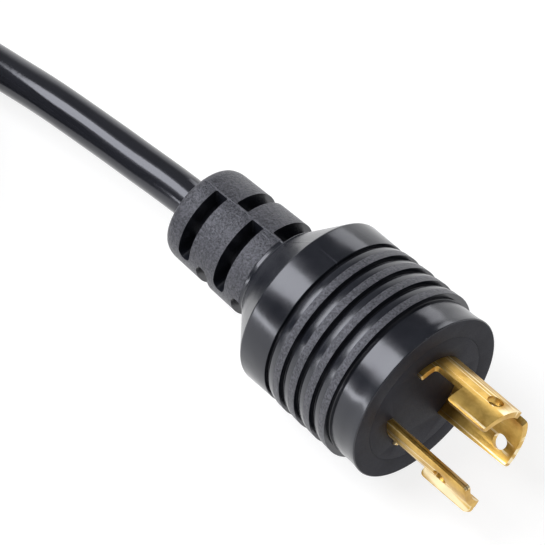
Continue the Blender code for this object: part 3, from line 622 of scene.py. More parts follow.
def rounded_outline(corners: Sequence[Corner], steps: int = 3) -> list[tuple[float, float, Skin]]:
    """Rounds the corners of a closed outline.

    Args:
        corners: The corners in order.
        steps: How many stretches each rounded corner gets.

    Returns:
        Points with the skin of the stretch after each.
    """
    points = []
    for i, corner in enumerate(corners):
        before, after = corners[i - 1], corners[(i + 1) % len(corners)]
        here = Vector((corner.a, corner.b))
        back = Vector((before.a, before.b)) - here
        ahead = Vector((after.a, after.b)) - here
        reach = min(corner.reach, MOST_REACH * back.length, MOST_REACH * ahead.length)
        if reach <= 0:
            points.append((corner.a, corner.b, corner.skin))
            continue
        start = here + back * (reach / back.length)
        end = here + ahead * (reach / ahead.length)
        for k in range(steps + 1):
            t = k / steps
            point = start.lerp(here, t).lerp(here.lerp(end, t), t)
            points.append((point.x, point.y, before.skin if 2 * k < steps else corner.skin))
    return points


def polar(axial: float, radius: float, angle: float) -> Vector:
    """A point by its place along the axis, its radius, and its angle from the top towards +Y."""
    return Vector((axial, radius * math.sin(angle), radius * math.cos(angle)))


def even_angles(count: int) -> list[float]:
    """Angles evenly round a full turn."""
    return [math.tau * i / count for i in range(count)]


def in_scene(name: str, data: bpy.types.ID) -> Object:
    """Puts an object with the given data into the scene.

    Args:
        name: The object's name.
        data: Its mesh, lamp or camera.

    Returns:
        The object, at the origin.
    """
    thing = bpy.data.objects.new(name, data)
    bpy.context.scene.collection.objects.link(thing)
    return thing


def stand(thing: Object, axes: Sequence[Vector], place: Vector) -> None:
    """Stands an object at a place, its own X, Y and Z along the given axes."""
    pose = Matrix(axes).transposed().to_4x4()
    pose.translation = place
    thing.matrix_world = pose


def piece(name: str, bm: Mesh, materials: Iterable[Material] = ()) -> Object:
    """Turns a mesh under construction into an object.

    Args:
        name: The object's name.
        bm: The mesh, which is freed.
        materials: Its materials in slot order.

    Returns:
        The object, at the origin.
    """
    bmesh.ops.recalc_face_normals(bm, faces=bm.faces)
    mesh = bpy.data.meshes.new(name)
    bm.to_mesh(mesh)
    bm.free()
    for material in materials:
        mesh.materials.append(material)
    return in_scene(name, mesh)


def span_rings(bm: Mesh, rings: Sequence[Sequence[bmesh.types.BMVert]], capped: bool = True) -> Strips:
    """Spans faces between rings of equally many points.

    Args:
        bm: The mesh.
        rings: The rings in order.
        capped: Whether a flat face closes the first and the last ring.

    Returns:
        The faces between each ring and the next.
    """
    strips = []
    for near, far in zip(rings, rings[1:]):
        corners = [(k, (k + 1) % len(near)) for k in range(len(near))]
        strips.append([bm.faces.new((near[k], near[m], far[m], far[k])) for k, m in corners])
    if capped:
        bm.faces.new(rings[0])
        bm.faces.new(reversed(rings[-1]))
    return strips


def lay_out(
    chart: bmesh.types.BMLayerItem, strips: Strips, along: Sequence[float], around: Sequence[float]
) -> None:
    """Lays strips of faces flat on a UV map.

    Args:
        chart: The UV map.
        strips: The faces between rings.
        along: How far along the piece each ring is.
        around: How far round the piece each corner is, with the full way round at the end.
    """
    for i, strip in enumerate(strips):
        for k, face in enumerate(strip):
            spots = ((i, k), (i, k + 1), (i + 1, k + 1), (i + 1, k))
            for loop, (row, column) in zip(face.loops, spots):
                loop[chart].uv = (along[row], around[column])


def turned(
    name: str,
    outline: Sequence[tuple[float, float, Skin]],
    angles: Sequence[float],
    materials: Iterable[Material] = (),
    rise: Callable[[float, float], float] | None = None,
    solid: bool = False,
) -> Object:
    """Turns an outline about the X axis.

    Args:
        name: The object's name.
        outline: (axial, radius, skin) points, as a closed outline clear of the axis.
        angles: Where round the axis the outline stands.
        materials: The materials in slot order.
        rise: How far the surface stands proud at an axial place and angle.
        solid: Whether the outline is open instead, and flat faces across the axis close its two ends.

    Returns:
        The object.
    """
    bm = bmesh.new()
    rings = []
    for axial, radius, _ in outline:
        proud = [rise(axial, angle) if rise else 0.0 for angle in angles]
        rings.append([bm.verts.new(polar(axial, radius + up, angle)) for up, angle in zip(proud, angles)])
    strips = span_rings(bm, rings if solid else [*rings, rings[0]], capped=solid)
    for (_, _, skin), strip in zip(outline, strips):
        for face in strip:
            face.material_index = skin.value
    return piece(name, bm, materials)


def arc_tool(
    back: float,
    front: float,
    inner: float,
    outer: float,
    start: float,
    stop: float,
    corners: Span = (0.0, 0.0),
    steps: int = 24,
) -> Object:
    """A curved block about the axis, to cut with.

    Args:
        back: Its rear end along the axis.
        front: Its front end.
        inner: Its inner radius.
        outer: Its outer radius.
        start: The angle where it begins.
        stop: The angle where it ends.
        corners: How far the corners at its start and at its stop are rounded, seen from outside.
        steps: How many stretches it has round the axis.

    Returns:
        The block.
    """
    middle = (inner + outer) / 2
    width = (stop - start) * middle
    ends = []
    for corner in corners:
        steps_here = range(CORNER_STEPS + 1) if corner else [CORNER_STEPS]
        turns = [math.radians(90 * i / CORNER_STEPS) for i in steps_here]
        ends.append([(corner * (1 - math.cos(turn)), corner * (1 - math.sin(turn))) for turn in turns])
    first, last = corners
    between = [(first + (width - first - last) * i / steps, 0.0) for i in range(1, steps)]
    closing = [(width - place, setback) for place, setback in reversed(ends[1])]
    bm = bmesh.new()
    rows = []
    for place, setback in ends[0] + between + closing:
        rear, face = back + setback, front - setback
        section = ((rear, inner), (rear, outer), (face, outer), (face, inner))
        rows.append([bm.verts.new(polar(axial, radius, start + place / middle)) for axial, radius in section])
    span_rings(bm, rows)
    return piece("arc_tool", bm)


def bar_tool(start: Vector, end: Vector, radius: float, sides: int = 48) -> Object:
    """A round bar between two points, to cut with or to join on.

    Args:
        start: The middle of its one end.
        end: The middle of its other end.
        radius: Its radius.
        sides: How many flat sides stand for its round one.

    Returns:
        The bar.
    """
    along = end - start
    place = Matrix.Translation((start + end) / 2) @ along.to_track_quat("Z", "Y").to_matrix().to_4x4()
    ends = {"radius1": radius, "radius2": radius, "depth": along.length}
    bm = bmesh.new()
    bmesh.ops.create_cone(bm, cap_ends=True, segments=sides, matrix=place, **ends)
    return piece("bar_tool", bm)


def block_tool(low: Sequence[float], high: Sequence[float]) -> Object:
    """A square block.

    Args:
        low: Its lowest corner.
        high: Its highest corner.

    Returns:
        The block.
    """
    bm = bmesh.new()
    middle = (Vector(low) + Vector(high)) / 2
    size = Vector(high) - Vector(low)
    bmesh.ops.create_cube(bm, size=1.0, matrix=Matrix.Translation(middle) @ Matrix.Diagonal((*size, 1.0)))
    return piece("block_tool", bm)


def plate(name: str, outline: Iterable[Sequence[float]], axis: int, level: float) -> Object:
    """A plate with a flat outline.

    Args:
        name: The object's name.
        outline: The points of its one side.
        axis: The number of the axis across it.
        level: Where its other side lies on that axis.

    Returns:
        The plate.
    """
    bm = bmesh.new()
    face = bm.faces.new([bm.verts.new(point) for point in outline])
    for item in bmesh.ops.extrude_face_region(bm, geom=[face])["geom"]:
        if isinstance(item, bmesh.types.BMVert):
            item.co[axis] = level
    return piece(name, bm)


def freeze(thing: Object) -> None:
    """Applies modifiers to a mesh.

    Args:
        thing: The object whose modifiers and mesh they are.
    """
    graph = bpy.context.evaluated_depsgraph_get()
    shaped = thing.evaluated_get(graph)
    made = bpy.data.meshes.new_from_object(shaped, preserve_all_data_layers=True, depsgraph=graph)
    thing.modifiers.clear()
    spent, thing.data = thing.data, made
    bpy.data.meshes.remove(spent)


def work(thing: Object, tool: Object, operation: Operation = Operation.CUT) -> None:
    """Cuts a tool's shape from an object or joins it on, and uses the tool up.

    Args:
        thing: The object.
        tool: The tool.
        operation: Whether it cuts or joins.
    """
    modifier = thing.modifiers.new("work", "BOOLEAN")
    modifier.operation = operation.value
    modifier.solver = "EXACT"
    modifier.object = tool
    freeze(thing)
    spent = tool.data
    bpy.data.objects.remove(tool)
    bpy.data.meshes.remove(spent)


def soften(thing: Object, width: float, segments: int = 2, limit: float = 40.0) -> None:
    """Rounds the sharp edges of an object.

    Args:
        thing: The object.
        width: How far the rounding reaches.
        segments: How many stretches it has.
        limit: The angle in degrees from which an edge counts as sharp.
    """
    modifier = thing.modifiers.new("soften", "BEVEL")
    modifier.width = width
    modifier.segments = segments
    modifier.limit_method = "ANGLE"
    modifier.angle_limit = math.radians(limit)
    freeze(thing)


def smooth(thing: Object, limit: float = 32.0) -> None:
    """Shades an object smooth up to an edge angle, in degrees."""
    thing.data.shade_smooth()
    thing.data.set_sharp_from_angle(angle=math.radians(limit))


def dress(node: str, material: Material) -> None:
    """Gives a CAD node a material."""
    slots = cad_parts[node].data.materials
    slots.clear()
    slots.append(material)


def seat(thing: Object, nodes: Sequence[str]) -> None:
    """Lets a finished piece ride on the body.

    Args:
        thing: The piece.
        nodes: The CAD nodes that it stands for.
    """
    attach(thing, "root")
    if nodes:
        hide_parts(*nodes)
    stands_for = ", ".join(nodes) or "no node"
    log.info("%s: %d faces, stands for %s", thing.name, len(thing.data.polygons), stands_for)


# ------------------------------------------------------------------ the mouldings


@dataclass(frozen=True)
class Grip:
    """Sizes that the two overmoulds share. Rounds, fillets and sweeps are the reach of a rounding."""

    rim_edge: float = 0.18 * MM
    rim_sweep: float = 1.2 * MM
    front_band: float = 6.2 * MM
    under_rim: float = 0.35 * MM
    front_flare: float = 2.5 * MM
    rib_pitch: float = 4.05 * MM
    crest_width: float = 1.7 * MM
    crest_over_rim: float = 0.45 * MM
    crest_growth: float = 0.07 * MM
    crest_slope: float = 0.12 * MM
    crest_rounds: Span = (0.08 * MM, 0.10 * MM)
    flank_rise: float = 0.5 * MM
    flank_round: float = 0.25 * MM
    groove_width: float = 0.8 * MM
    groove_depth: float = 1.3 * MM
    groove_fillet: float = 0.2 * MM
    groove_lip: float = 0.12 * MM
    band_over_rim: float = 0.15 * MM
    band_chamfer: float = 0.42 * MM
    band_rounds: Span = (0.25 * MM, 0.35 * MM)
    flare: float = 7.2 * MM
    flare_fillet: float = 1.3 * MM
    relief_length: float = 22.0 * MM
    relief_rear: float = 9.75 * MM
    relief_front: float = 10.3 * MM
    relief_step: float = 0.10 * MM
    relief_step_ends: Span = (0.9 * MM, 0.8 * MM)
    relief_core: float = 5.9 * MM
    relief_nose: tuple[tuple[float, float, float], ...] = (
        (0.0, 1.7 * MM, 0.6 * MM),
        (0.55 * MM, 0.5 * MM, 0.7 * MM),
        (1.9 * MM, 0.0, 0.9 * MM),
    )
    slot_width: float = 3.0 * MM
    slot_pitch: float = 4.83 * MM
    slot_land: float = 4.45 * MM
    slot_web: float = 0.30 * MM
    slot_corner: float = 0.28 * MM
    slot_round: float = 1.45 * MM
    slot_overreach: float = 0.8 * MM
    upper_slot_drop: float = 0.7 * MM
    lower_slot_rise: float = 1.0 * MM
    cord_radius: float = 3.9 * MM
    cord_fit: float = 0.03 * MM
    bore_round: float = 0.3 * MM
    wiring_radius: float = 11.65 * MM
    wiring_cone: float = 14.5 * MM
    pocket_lip: float = 0.05 * MM
    crisp: float = 0.1 * MM
    parting_lines: Span = (0.0, math.pi)
    parting_turns: tuple[float, ...] = (0.35, 0.7, 1.1)
    parting_room: float = 1.5
    parting_height: float = 0.085 * MM
    parting_width: float = 0.22 * MM
    parting_fade: float = 0.2


@dataclass
class Overmould:
    """One soft outer moulding: strain relief, flare, rear band, ribs and front band in one piece."""

    node: str
    rim_radius: float
    rib_count: int
    rear_band: float
    pocket_radius: float
    pocket_depth: float
    wiring_depth: float
    grip: Grip = field(default_factory=Grip)
    stations: int = 180

    @property
    def shoulder(self) -> float:
        """Distance from the face to the rear edge of the rear band."""
        grip = self.grip
        return grip.front_band + grip.groove_width + self.rib_count * grip.rib_pitch + self.rear_band

    @property
    def length(self) -> float:
        """Distance from the face to the relief's rear end."""
        return self.shoulder + self.grip.flare + self.grip.relief_length

    @property
    def centre(self) -> Vector:
        """The middle of the face, where the CAD node has it."""
        low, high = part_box(self.node)
        return Vector((high.x, (low.y + high.y) / 2, (low.z + high.z) / 2))

    def crest(self, rib: int) -> float:
        """Radius of a rib's front edge. Rib 0 is next to the front band."""
        behind = self.rib_count - 1 - rib
        return self.rim_radius + self.grip.crest_over_rim + behind * self.grip.crest_growth

    def rear_corners(self) -> list[Corner]:
        """The outline's corners from the bore at the rear to the rear band and the first groove's floor.

        Returns:
            The corners in order.
        """
        grip, rear = self.grip, -self.length
        relief_front = rear + grip.relief_length
        step_start, step_end = grip.relief_step_ends
        neck = grip.relief_front - grip.relief_step
        band = self.rim_radius + grip.band_over_rim
        outer, inner = grip.band_rounds
        groove = -(grip.front_band + grip.groove_width + self.rib_count * grip.rib_pitch)
        nose = [(rear + along, grip.relief_rear - below, reach) for along, below, reach in grip.relief_nose]
        return [
            Corner(rear, grip.cord_radius + grip.cord_fit, grip.bore_round, Skin.GRAINED),
            *(Corner(*spot, Skin.GRAINED) for spot in nose),
            Corner(relief_front - step_start, grip.relief_front, grip.crisp, Skin.GRAINED),
            Corner(relief_front - step_end, neck, grip.crisp),
            Corner(relief_front, neck, grip.flare_fillet),
            Corner(-self.shoulder, band - grip.band_chamfer, outer),
            Corner(-self.shoulder + grip.band_chamfer, band, inner),
            Corner(groove, band, grip.groove_lip),
            Corner(groove, self.crest(self.rib_count - 1) - grip.groove_depth, grip.crisp),
        ]

    def rib_corners(self, rib: int) -> list[Corner]:
        """The outline's corners over one rib, from the groove behind it to the one before it.

        Args:
            rib: The rib's number.

        Returns:
            The corners in order.
        """
        grip = self.grip
        front = -(grip.front_band + grip.groove_width + rib * grip.rib_pitch)
        flank = front - grip.rib_pitch + grip.groove_width
        crest = self.crest(rib)
        behind, ahead = grip.crest_rounds
        return [
            Corner(flank, crest - grip.groove_depth, grip.groove_fillet),
            Corner(flank, crest - grip.flank_rise, grip.flank_round),
            Corner(front - grip.crest_width, crest - grip.crest_slope, behind, Skin.GRAINED),
            Corner(front, crest, ahead),
            Corner(front, crest - grip.groove_depth, grip.groove_fillet),
        ]

    def front_corners(self) -> list[Corner]:
        """The outline's corners over the front band and back through the pocket to the bore.

        Returns:
            The corners in order.
        """
        grip = self.grip
        under = self.rim_radius - grip.under_rim
        return [
            Corner(-grip.front_band, self.crest(0) - grip.groove_depth, grip.groove_fillet),
            Corner(-grip.front_band, under, grip.groove_lip),
            Corner(-grip.front_flare, under, grip.rim_sweep),
            Corner(-grip.rim_edge, self.rim_radius, grip.crisp),
            Corner(0.0, self.rim_radius - grip.rim_edge, grip.crisp, Skin.FACE),
            Corner(0.0, self.pocket_radius, grip.pocket_lip),
            Corner(-self.pocket_depth, self.pocket_radius),
            Corner(-self.pocket_depth, grip.wiring_radius),
            Corner(-self.wiring_depth, grip.wiring_radius),
            Corner(-self.wiring_depth - grip.wiring_cone, grip.cord_radius + grip.cord_fit),
        ]

    def from_line(self, angle: float) -> float:
        """The turn from an angle to the nearer parting line."""
        return min(abs(math.remainder(angle - line, math.tau)) for line in self.grip.parting_lines)

    def angles(self) -> list[float]:
        """Angles round the axis, closer together at the parting lines along the top and the bottom.

        Returns:
            The angles in order.
        """
        turns = [0.0]
        for turn in self.grip.parting_turns:
            turns += [math.radians(turn), math.radians(-turn)]
        close = [turn + line for line in self.grip.parting_lines for turn in turns]
        room = math.radians(self.grip.parting_room)
        rest = [angle for angle in even_angles(self.stations) if self.from_line(angle) > room]
        return sorted(angle % math.tau for angle in close + rest)

    def parting(self, axial: float, angle: float) -> float:
        """How far a parting line stands proud on the outside.

        Args:
            axial: The place along the axis.
            angle: The angle round it.

        Returns:
            The height, which is zero off the two lines.
        """
        grip = self.grip
        if not -self.length < axial < -grip.rim_edge:
            return 0.0
        radius = grip.relief_rear if axial < -self.shoulder - grip.flare else self.rim_radius
        share = max(0.0, 1.0 - 2 * self.from_line(angle) * radius / grip.parting_width)
        fade = 1.0 if axial < -self.shoulder - grip.flare / 2 else grip.parting_fade
        return fade * grip.parting_height * share

    def cut_slots(self, thing: Object) -> None:
        """Cuts two slots in each quarter of the relief, those of one quarter between those of the next.

        Args:
            thing: The moulding, still at the origin.
        """
        grip = self.grip
        web = grip.slot_web / grip.relief_front
        rise = grip.lower_slot_rise / grip.relief_front
        drop = grip.upper_slot_drop / grip.relief_front
        quarter = math.pi / 2
        outer = grip.relief_front + grip.slot_overreach
        upper = (web, quarter + drop, (grip.slot_corner, grip.slot_round))
        lower = (quarter - rise, math.pi - web, (grip.slot_round, grip.slot_corner))
        for side in (-1, 1):
            for low, (near, far, rounds) in enumerate((upper, lower)):
                staggered = (side > 0) != (low == 1)
                span, corners = ((near, far), rounds) if side > 0 else ((-far, -near), rounds[::-1])
                for pair in range(2):
                    back = -self.length + grip.slot_land + grip.slot_pitch * (2 * pair + staggered)
                    tool = arc_tool(back, back + grip.slot_width, grip.relief_core, outer, *span, corners)
                    work(thing, tool)

    def build(self, skins: Sequence[Material]) -> Object:
        """Makes the moulding where its CAD node is.

        Args:
            skins: The glossy, the grained and the face material.

        Returns:
            The finished piece.
        """
        ribs = [corner for rib in reversed(range(self.rib_count)) for corner in self.rib_corners(rib)]
        outline = rounded_outline([*self.rear_corners(), *ribs, *self.front_corners()])
        thing = turned(self.node + "_skin", outline, self.angles(), skins, self.parting)
        self.cut_slots(thing)
        smooth(thing)
        thing.location = self.centre
        seat(thing, [self.node])
        return thing


# ------------------------------------------------------------------ blades and faces


@dataclass(frozen=True)
class Blade:
    """One stamped blade, as a flat blank that is then bent round the plug's axis."""

    name: str
    angle: float
    width: float
    length: float
    foot: float
    notch: float
    hole_inset: float
    flanged: bool = False
    inner: float = 8.0 * MM
    thickness: float = 1.3 * MM
    root: float = 8.0 * MM
    root_round: float = 0.5 * MM
    taper: float = 0.5 * MM
    tip_rounds: Span = (0.8 * MM, 0.9 * MM)
    notch_end: float = 7.6 * MM
    notch_round: float = 0.5 * MM
    foot_round: float = 0.45 * MM
    foot_fillet: float = 0.8 * MM
    hole_radius: float = 1.55 * MM
    hole_height: float = 13.3 * MM
    flange_radius: float = 11.0 * MM
    flange_thickness: float = 1.3 * MM
    flange_inset: float = 0.2 * MM
    flange_tip: float = 0.3 * MM
    flange_corner: float = 1.0 * MM
    flange_stub_corner: float = 0.3 * MM
    flange_stub_drop: float = 0.9 * MM
    edge: float = 0.30 * MM
    seam_width: float = 0.16 * MM
    seam_depth: float = 0.7 * MM
    stem_width: float = 3.4 * MM
    stem_end: float = 13.7 * MM
    stem_round: float = 0.3 * MM
    stem_fillet: float = 0.4 * MM
    barrel: Span = (13.0 * MM, 19.0 * MM)
    barrel_radius: float = 1.75 * MM
    barrel_bore: float = 1.05 * MM
    bend_steps: int = 36
    same_place: float = 1e-7

    @property
    def circle(self) -> float:
        """Radius of the blade's middle surface."""
        return self.inner + self.thickness / 2

    @property
    def start(self) -> float:
        """The angle of its notched edge."""
        return self.angle - self.width / self.circle / 2

    @property
    def stop(self) -> float:
        """The angle of its long edge."""
        return self.start + self.width / self.circle

    def blank_corners(self) -> list[Corner]:
        """The flat blank's outline.

        Returns:
            Its corners: place along the axis, then place across the width from the notched edge.
        """
        middle, half = self.width / 2, self.stem_width / 2
        long_tip, notched_tip = self.tip_rounds
        return [
            Corner(-self.stem_end, middle - half, self.stem_round),
            Corner(-self.stem_end, middle + half, self.stem_round),
            Corner(-self.root, middle + half, self.stem_fillet),
            Corner(-self.root, self.width, self.root_round),
            Corner(0.0, self.width),
            Corner(self.length, self.width - self.taper, long_tip),
            Corner(self.length, 0.0, notched_tip),
            Corner(self.notch_end, 0.0, self.notch_round),
            Corner(self.notch_end, self.notch, self.notch_round),
            Corner(self.foot, self.notch, min(self.foot_fillet, 0.9 * self.notch)),
            Corner(self.foot, 0.0, self.foot_round),
            Corner(-self.root, 0.0, self.root_round),
            Corner(-self.root, middle - half, self.stem_fillet),
        ]

    def blank(self) -> Object:
        """The flat blank, with its flange, barrel, hole, softened edges and seam.

        Returns:
            The blank.
        """
        outline = rounded_outline(self.blank_corners(), steps=5)
        points = [(axial, across, 0.0) for axial, across, _ in outline]
        thing = plate(f"plug_blade_{self.name}_brass", points, axis=2, level=self.thickness)
        if self.flanged:
            self.add_flange(thing)
        self.add_barrel(thing)
        hole = Vector((self.hole_height, self.width - self.hole_inset, 0.0))
        up = Vector((0.0, 0.0, self.thickness))
        work(thing, bar_tool(hole - up, hole + 2 * up, self.hole_radius))
        soften(thing, self.edge, segments=4)
        middle = self.thickness / 2
        low = (self.foot, self.width - self.taper - self.seam_depth, middle - self.seam_width / 2)
        high = (self.length + OVERSHOOT, self.width + OVERSHOOT, middle + self.seam_width / 2)
        if self.flanged:
            work(thing, block_tool(low, high))
        return thing

    def add_flange(self, thing: Object) -> None:
        """Joins on the outward flange along the notched edge: long on the head, and a stub at the foot.

        Args:
            thing: The flat blank.
        """
        base, top = self.thickness / 2, self.flange_radius - self.inner
        stub = (-self.root / 2, self.foot, self.flange_stub_corner, top - self.flange_stub_drop)
        head = (self.notch_end + self.flange_inset, self.length - self.flange_tip, self.flange_corner, top)
        for back, front, corner, height in (stub, head):
            feet = [Corner(back, base), Corner(front, base)]
            tips = [Corner(front, height, corner), Corner(back, height, corner)]
            outline = rounded_outline([*feet, *tips], steps=5)
            points = [(axial, self.flange_inset, up) for axial, up, _ in outline]
            flange = plate("flange_tool", points, axis=1, level=self.flange_thickness)
            work(thing, flange, Operation.JOIN)

    def bend(self, thing: Object) -> None:
        """Divides the blank across its width and wraps it round the axis.

        Args:
            thing: The flat blank.
        """
        bm = bmesh.new()
        bm.from_mesh(thing.data)
        for k in range(1, self.bend_steps):
            cut = {"plane_co": (0, self.width * k / self.bend_steps, 0), "plane_no": (0, 1, 0)}
            everything = bm.verts[:] + bm.edges[:] + bm.faces[:]
            bmesh.ops.bisect_plane(bm, geom=everything, dist=self.same_place, **cut)
        for vert in bm.verts:
            axial, across, up = vert.co
            vert.co = polar(axial, self.inner + up, self.start + across / self.circle)
        bmesh.ops.recalc_face_normals(bm, faces=bm.faces)
        bm.to_mesh(thing.data)
        bm.free()

    def add_barrel(self, thing: Object) -> None:
        """Joins on the crimp barrel behind the stem and bores it.

        Args:
            thing: The flat blank.
        """
        front, back = self.barrel
        spine = Vector((0.0, self.width / 2, self.thickness / 2))
        ends = (spine - Vector((back, 0, 0)), spine - Vector((front, 0, 0)))
        work(thing, bar_tool(*ends, self.barrel_radius), Operation.JOIN)
        behind = ends[0] - Vector((OVERSHOOT, 0, 0))
        work(thing, bar_tool(behind, ends[1] - Vector((self.stem_end - front, 0, 0)), self.barrel_bore))

    def build(self, centre: Vector, brass: Material) -> Object:
        """Makes the blade where its CAD node is.

        Args:
            centre: The middle of the plug's face.
            brass: Its material.

        Returns:
            The finished piece.
        """
        thing = self.blank()
        self.bend(thing)
        thing.data.materials.append(brass)
        smooth(thing, limit=28.0)
        thing.location = centre
        seat(thing, [f"plug_blade_{self.name}"])
        return thing


@dataclass(frozen=True)
class FaceDisc:
    """The hard disc in a moulding's face, with a curved opening for each blade."""

    node: str
    radius: float
    thickness: float
    edge: float
    clearance: float
    mirrored: bool = False
    lip: float = 0.12 * MM
    stations: int = 180

    def open_for(self, thing: Object, blade: Blade) -> None:
        """Cuts a blade's opening. In the plug's own disc it has room for the flange's stub only.

        Args:
            thing: The disc.
            blade: The blade that passes through it.
        """
        hand = -1 if self.mirrored else 1
        room = self.clearance / blade.circle
        ends = (-self.thickness - OVERSHOOT, OVERSHOOT)
        start, stop = sorted((hand * blade.start, hand * blade.stop))
        inner, outer = blade.inner - self.clearance, blade.inner + blade.thickness + self.clearance
        work(thing, arc_tool(*ends, inner, outer, start - room, stop + room, steps=30))
        if blade.flanged:
            insets = (blade.flange_inset, blade.flange_thickness)
            near, far = sorted(hand * (blade.start + inset / blade.circle) for inset in insets)
            drop = 0.0 if self.mirrored else blade.flange_stub_drop
            tall = blade.flange_radius - drop + self.clearance
            work(thing, arc_tool(*ends, blade.circle, tall, near - room, far + room, steps=6))

    def build(self, centre: Vector, blades: Sequence[Blade], material: Material) -> Object:
        """Makes the disc where its CAD node is.

        Args:
            centre: The middle of the face.
            blades: The blades that pass through it.
            material: Its material.

        Returns:
            The finished piece.
        """
        back, inner = -self.thickness, self.radius - self.edge
        rim = ((back, inner), (back + self.edge, self.radius), (-self.edge, self.radius), (0.0, inner))
        outline = [(axial, radius, Skin.GLOSSY) for axial, radius in rim]
        thing = turned(self.node + "_disc", outline, even_angles(self.stations), solid=True)
        for blade in blades:
            self.open_for(thing, blade)
        soften(thing, self.lip, segments=2)
        thing.data.materials.append(material)
        smooth(thing, limit=30.0)
        thing.location = centre
        seat(thing, [self.node])
        return thing


# ------------------------------------------------------------------ the lead


def smooth_step(t: float) -> float:
    """A share from 0 to 1 that starts and ends gently."""
    t = min(1.0, max(0.0, t))
    return t * t * (3 - 2 * t)


@dataclass
class SupplyLead:
    """The whole lead in one unbroken tube: the run from the plug, the hank and the tail to the connector."""

    diameter: float = 7.8 * MM
    total: float = 7.6
    gap: float = 0.3 * MM
    droop: tuple[Span, ...] = (
        (0.000, 0.000),
        (0.004, 0.000),
        (0.009, 0.040),
        (0.017, 0.125),
        (0.026, 0.210),
        (0.035, 0.310),
        (0.044, 0.430),
        (0.055, 0.610),
        (0.066, 0.795),
        (0.077, 0.935),
        (0.088, 1.000),
    )
    droop_steps: int = 8
    hank_start: float = -0.138
    layers: int = 4
    loops_per_layer: int = 4
    lead_in: float = 0.12
    fold_diameters: float = 2.9
    clearance: float = 0.6 * MM
    waist_draw: float = 6.0 * MM
    waist_length: float = 44 * MM
    waist_lift: float = 1.8 * MM
    past_waist: float = 22.5 * MM
    floor_clearance: float = 0.05 * MM
    run_steps: int = 16
    fold_steps: int = 22
    sides: int = 24
    cores: int = 3
    lay_height: float = 0.022 * MM
    lay_length: float = 75 * MM

    @property
    def radius(self) -> float:
        """Half the diameter."""
        return self.diameter / 2

    @property
    def step(self) -> float:
        """From one tube's centre to the next one's in the hank."""
        return self.diameter + self.clearance

    @property
    def runs(self) -> int:
        """How many straight runs the hank has."""
        return 2 * self.layers * self.loops_per_layer - 1

    @property
    def last_turn(self) -> float:
        """Turns at the end of the last run."""
        return self.runs / 2 - 0.5 + self.lead_in

    @property
    def fold_turns(self) -> float:
        """The part of a turn that one fold takes."""
        return 0.5 - 2 * self.lead_in

    def free_run(self, exit_point: Vector) -> list[Vector]:
        """The stretch from the plug, drooping to the floor and on to the hank.

        Args:
            exit_point: Where it leaves the plug.

        Returns:
            Its points.
        """
        x, y, high = exit_point
        low = self.radius + self.floor_clearance
        route = [Vector((x - along, y, high - (high - low) * share)) for along, share in self.droop]
        route.append(Vector((self.hank_start + self.diameter + self.gap, y, low)))
        return [route[0], *self.smooth_curve(route[1:], self.droop_steps)]

    @staticmethod
    def smooth_curve(route: Sequence[Vector], steps: int) -> list[Vector]:
        """A smooth curve through points.

        Args:
            route: The points.
            steps: How many points each stretch of the curve gets.

        Returns:
            The curve's points.
        """
        padded = [2 * route[0] - route[1], *route, 2 * route[-1] - route[-2]]
        fine = []
        for before, start, end, after in zip(padded, padded[1:], padded[2:], padded[3:]):
            for i in range(steps):
                t = i / steps
                b = end - before
                c = 2 * before - 5 * start + 4 * end - after
                d = 3 * start - before - 3 * end + after
                fine.append((2 * start + b * t + c * t * t + d * t * t * t) / 2)
        return [*fine, route[-1]]

    @staticmethod
    def path_length(points: Sequence[Vector]) -> float:
        """The length of a line through points."""
        return sum((end - start).length for start, end in zip(points, points[1:]))

    def fold_radius(self, turns: float) -> float:
        """Radius of the folds after so many turns: in and out again from layer to layer."""
        into_pair = turns % (2 * self.loops_per_layer) if turns > 0 else turns
        return self.fold_diameters * self.diameter + self.step * abs(into_pair - self.loops_per_layer)

    def run_length(self, free: Sequence[Vector]) -> float:
        """Length of the straight runs that uses up what the free stretch leaves of the lead."""
        folds = math.pi * sum(self.fold_radius(half / 2 + 0.25) for half in range(self.runs))
        return (self.total - self.path_length(free) - folds - self.past_waist) / (self.runs + 0.5)

    def height(self, turns: float) -> float:
        """Height of the tube's centre without the waist's lift.

        Args:
            turns: The turns so far. Each layer is climbed along a run.

        Returns:
            The height over the floor.
        """
        height = self.radius + self.floor_clearance
        for layer in range(1, self.layers):
            past = turns - layer * self.loops_per_layer
            height += self.step * smooth_step(past / (2 * self.lead_in) + 0.5)
        return height

    def waist(self, run: float) -> Vector:
        """The middle of the hank, on the floor. Its first run carries straight on from the plug."""
        return Vector((self.hank_start - run / 2, -self.fold_radius(-self.lead_in), 0.0))

    def run_point(self, run: float, turns: float, side: int, along: float) -> Vector:
        """A point on a run.

        Args:
            run: The runs' length.
            turns: The turns so far.
            side: Whether it is a near (1) or a far (-1) run.
            along: Its distance from the waist towards the plug.

        Returns:
            The point.
        """
        outside = max(0.0, abs(along) - self.waist_length / 2)
        drawn = smooth_step(1.0 - outside / (run / 2 - self.waist_length / 2))
        across = side * (self.fold_radius(turns) - self.waist_draw * drawn)
        return self.waist(run) + Vector((along, across, self.height(turns) + self.waist_lift * drawn))

    def fold_point(self, run: float, turns: float, end: int, share: float) -> Vector:
        """A point on a fold.

        Args:
            run: The runs' length.
            turns: The turns so far.
            end: Whether the fold is towards the plug (1) or away from it (-1).
            share: How much of the half turn is done.

        Returns:
            The point.
        """
        radius = self.fold_radius(turns)
        along = end * (run / 2 + radius * math.sin(math.pi * share))
        across = -end * radius * math.cos(math.pi * share)
        return self.waist(run) + Vector((along, across, self.height(turns)))

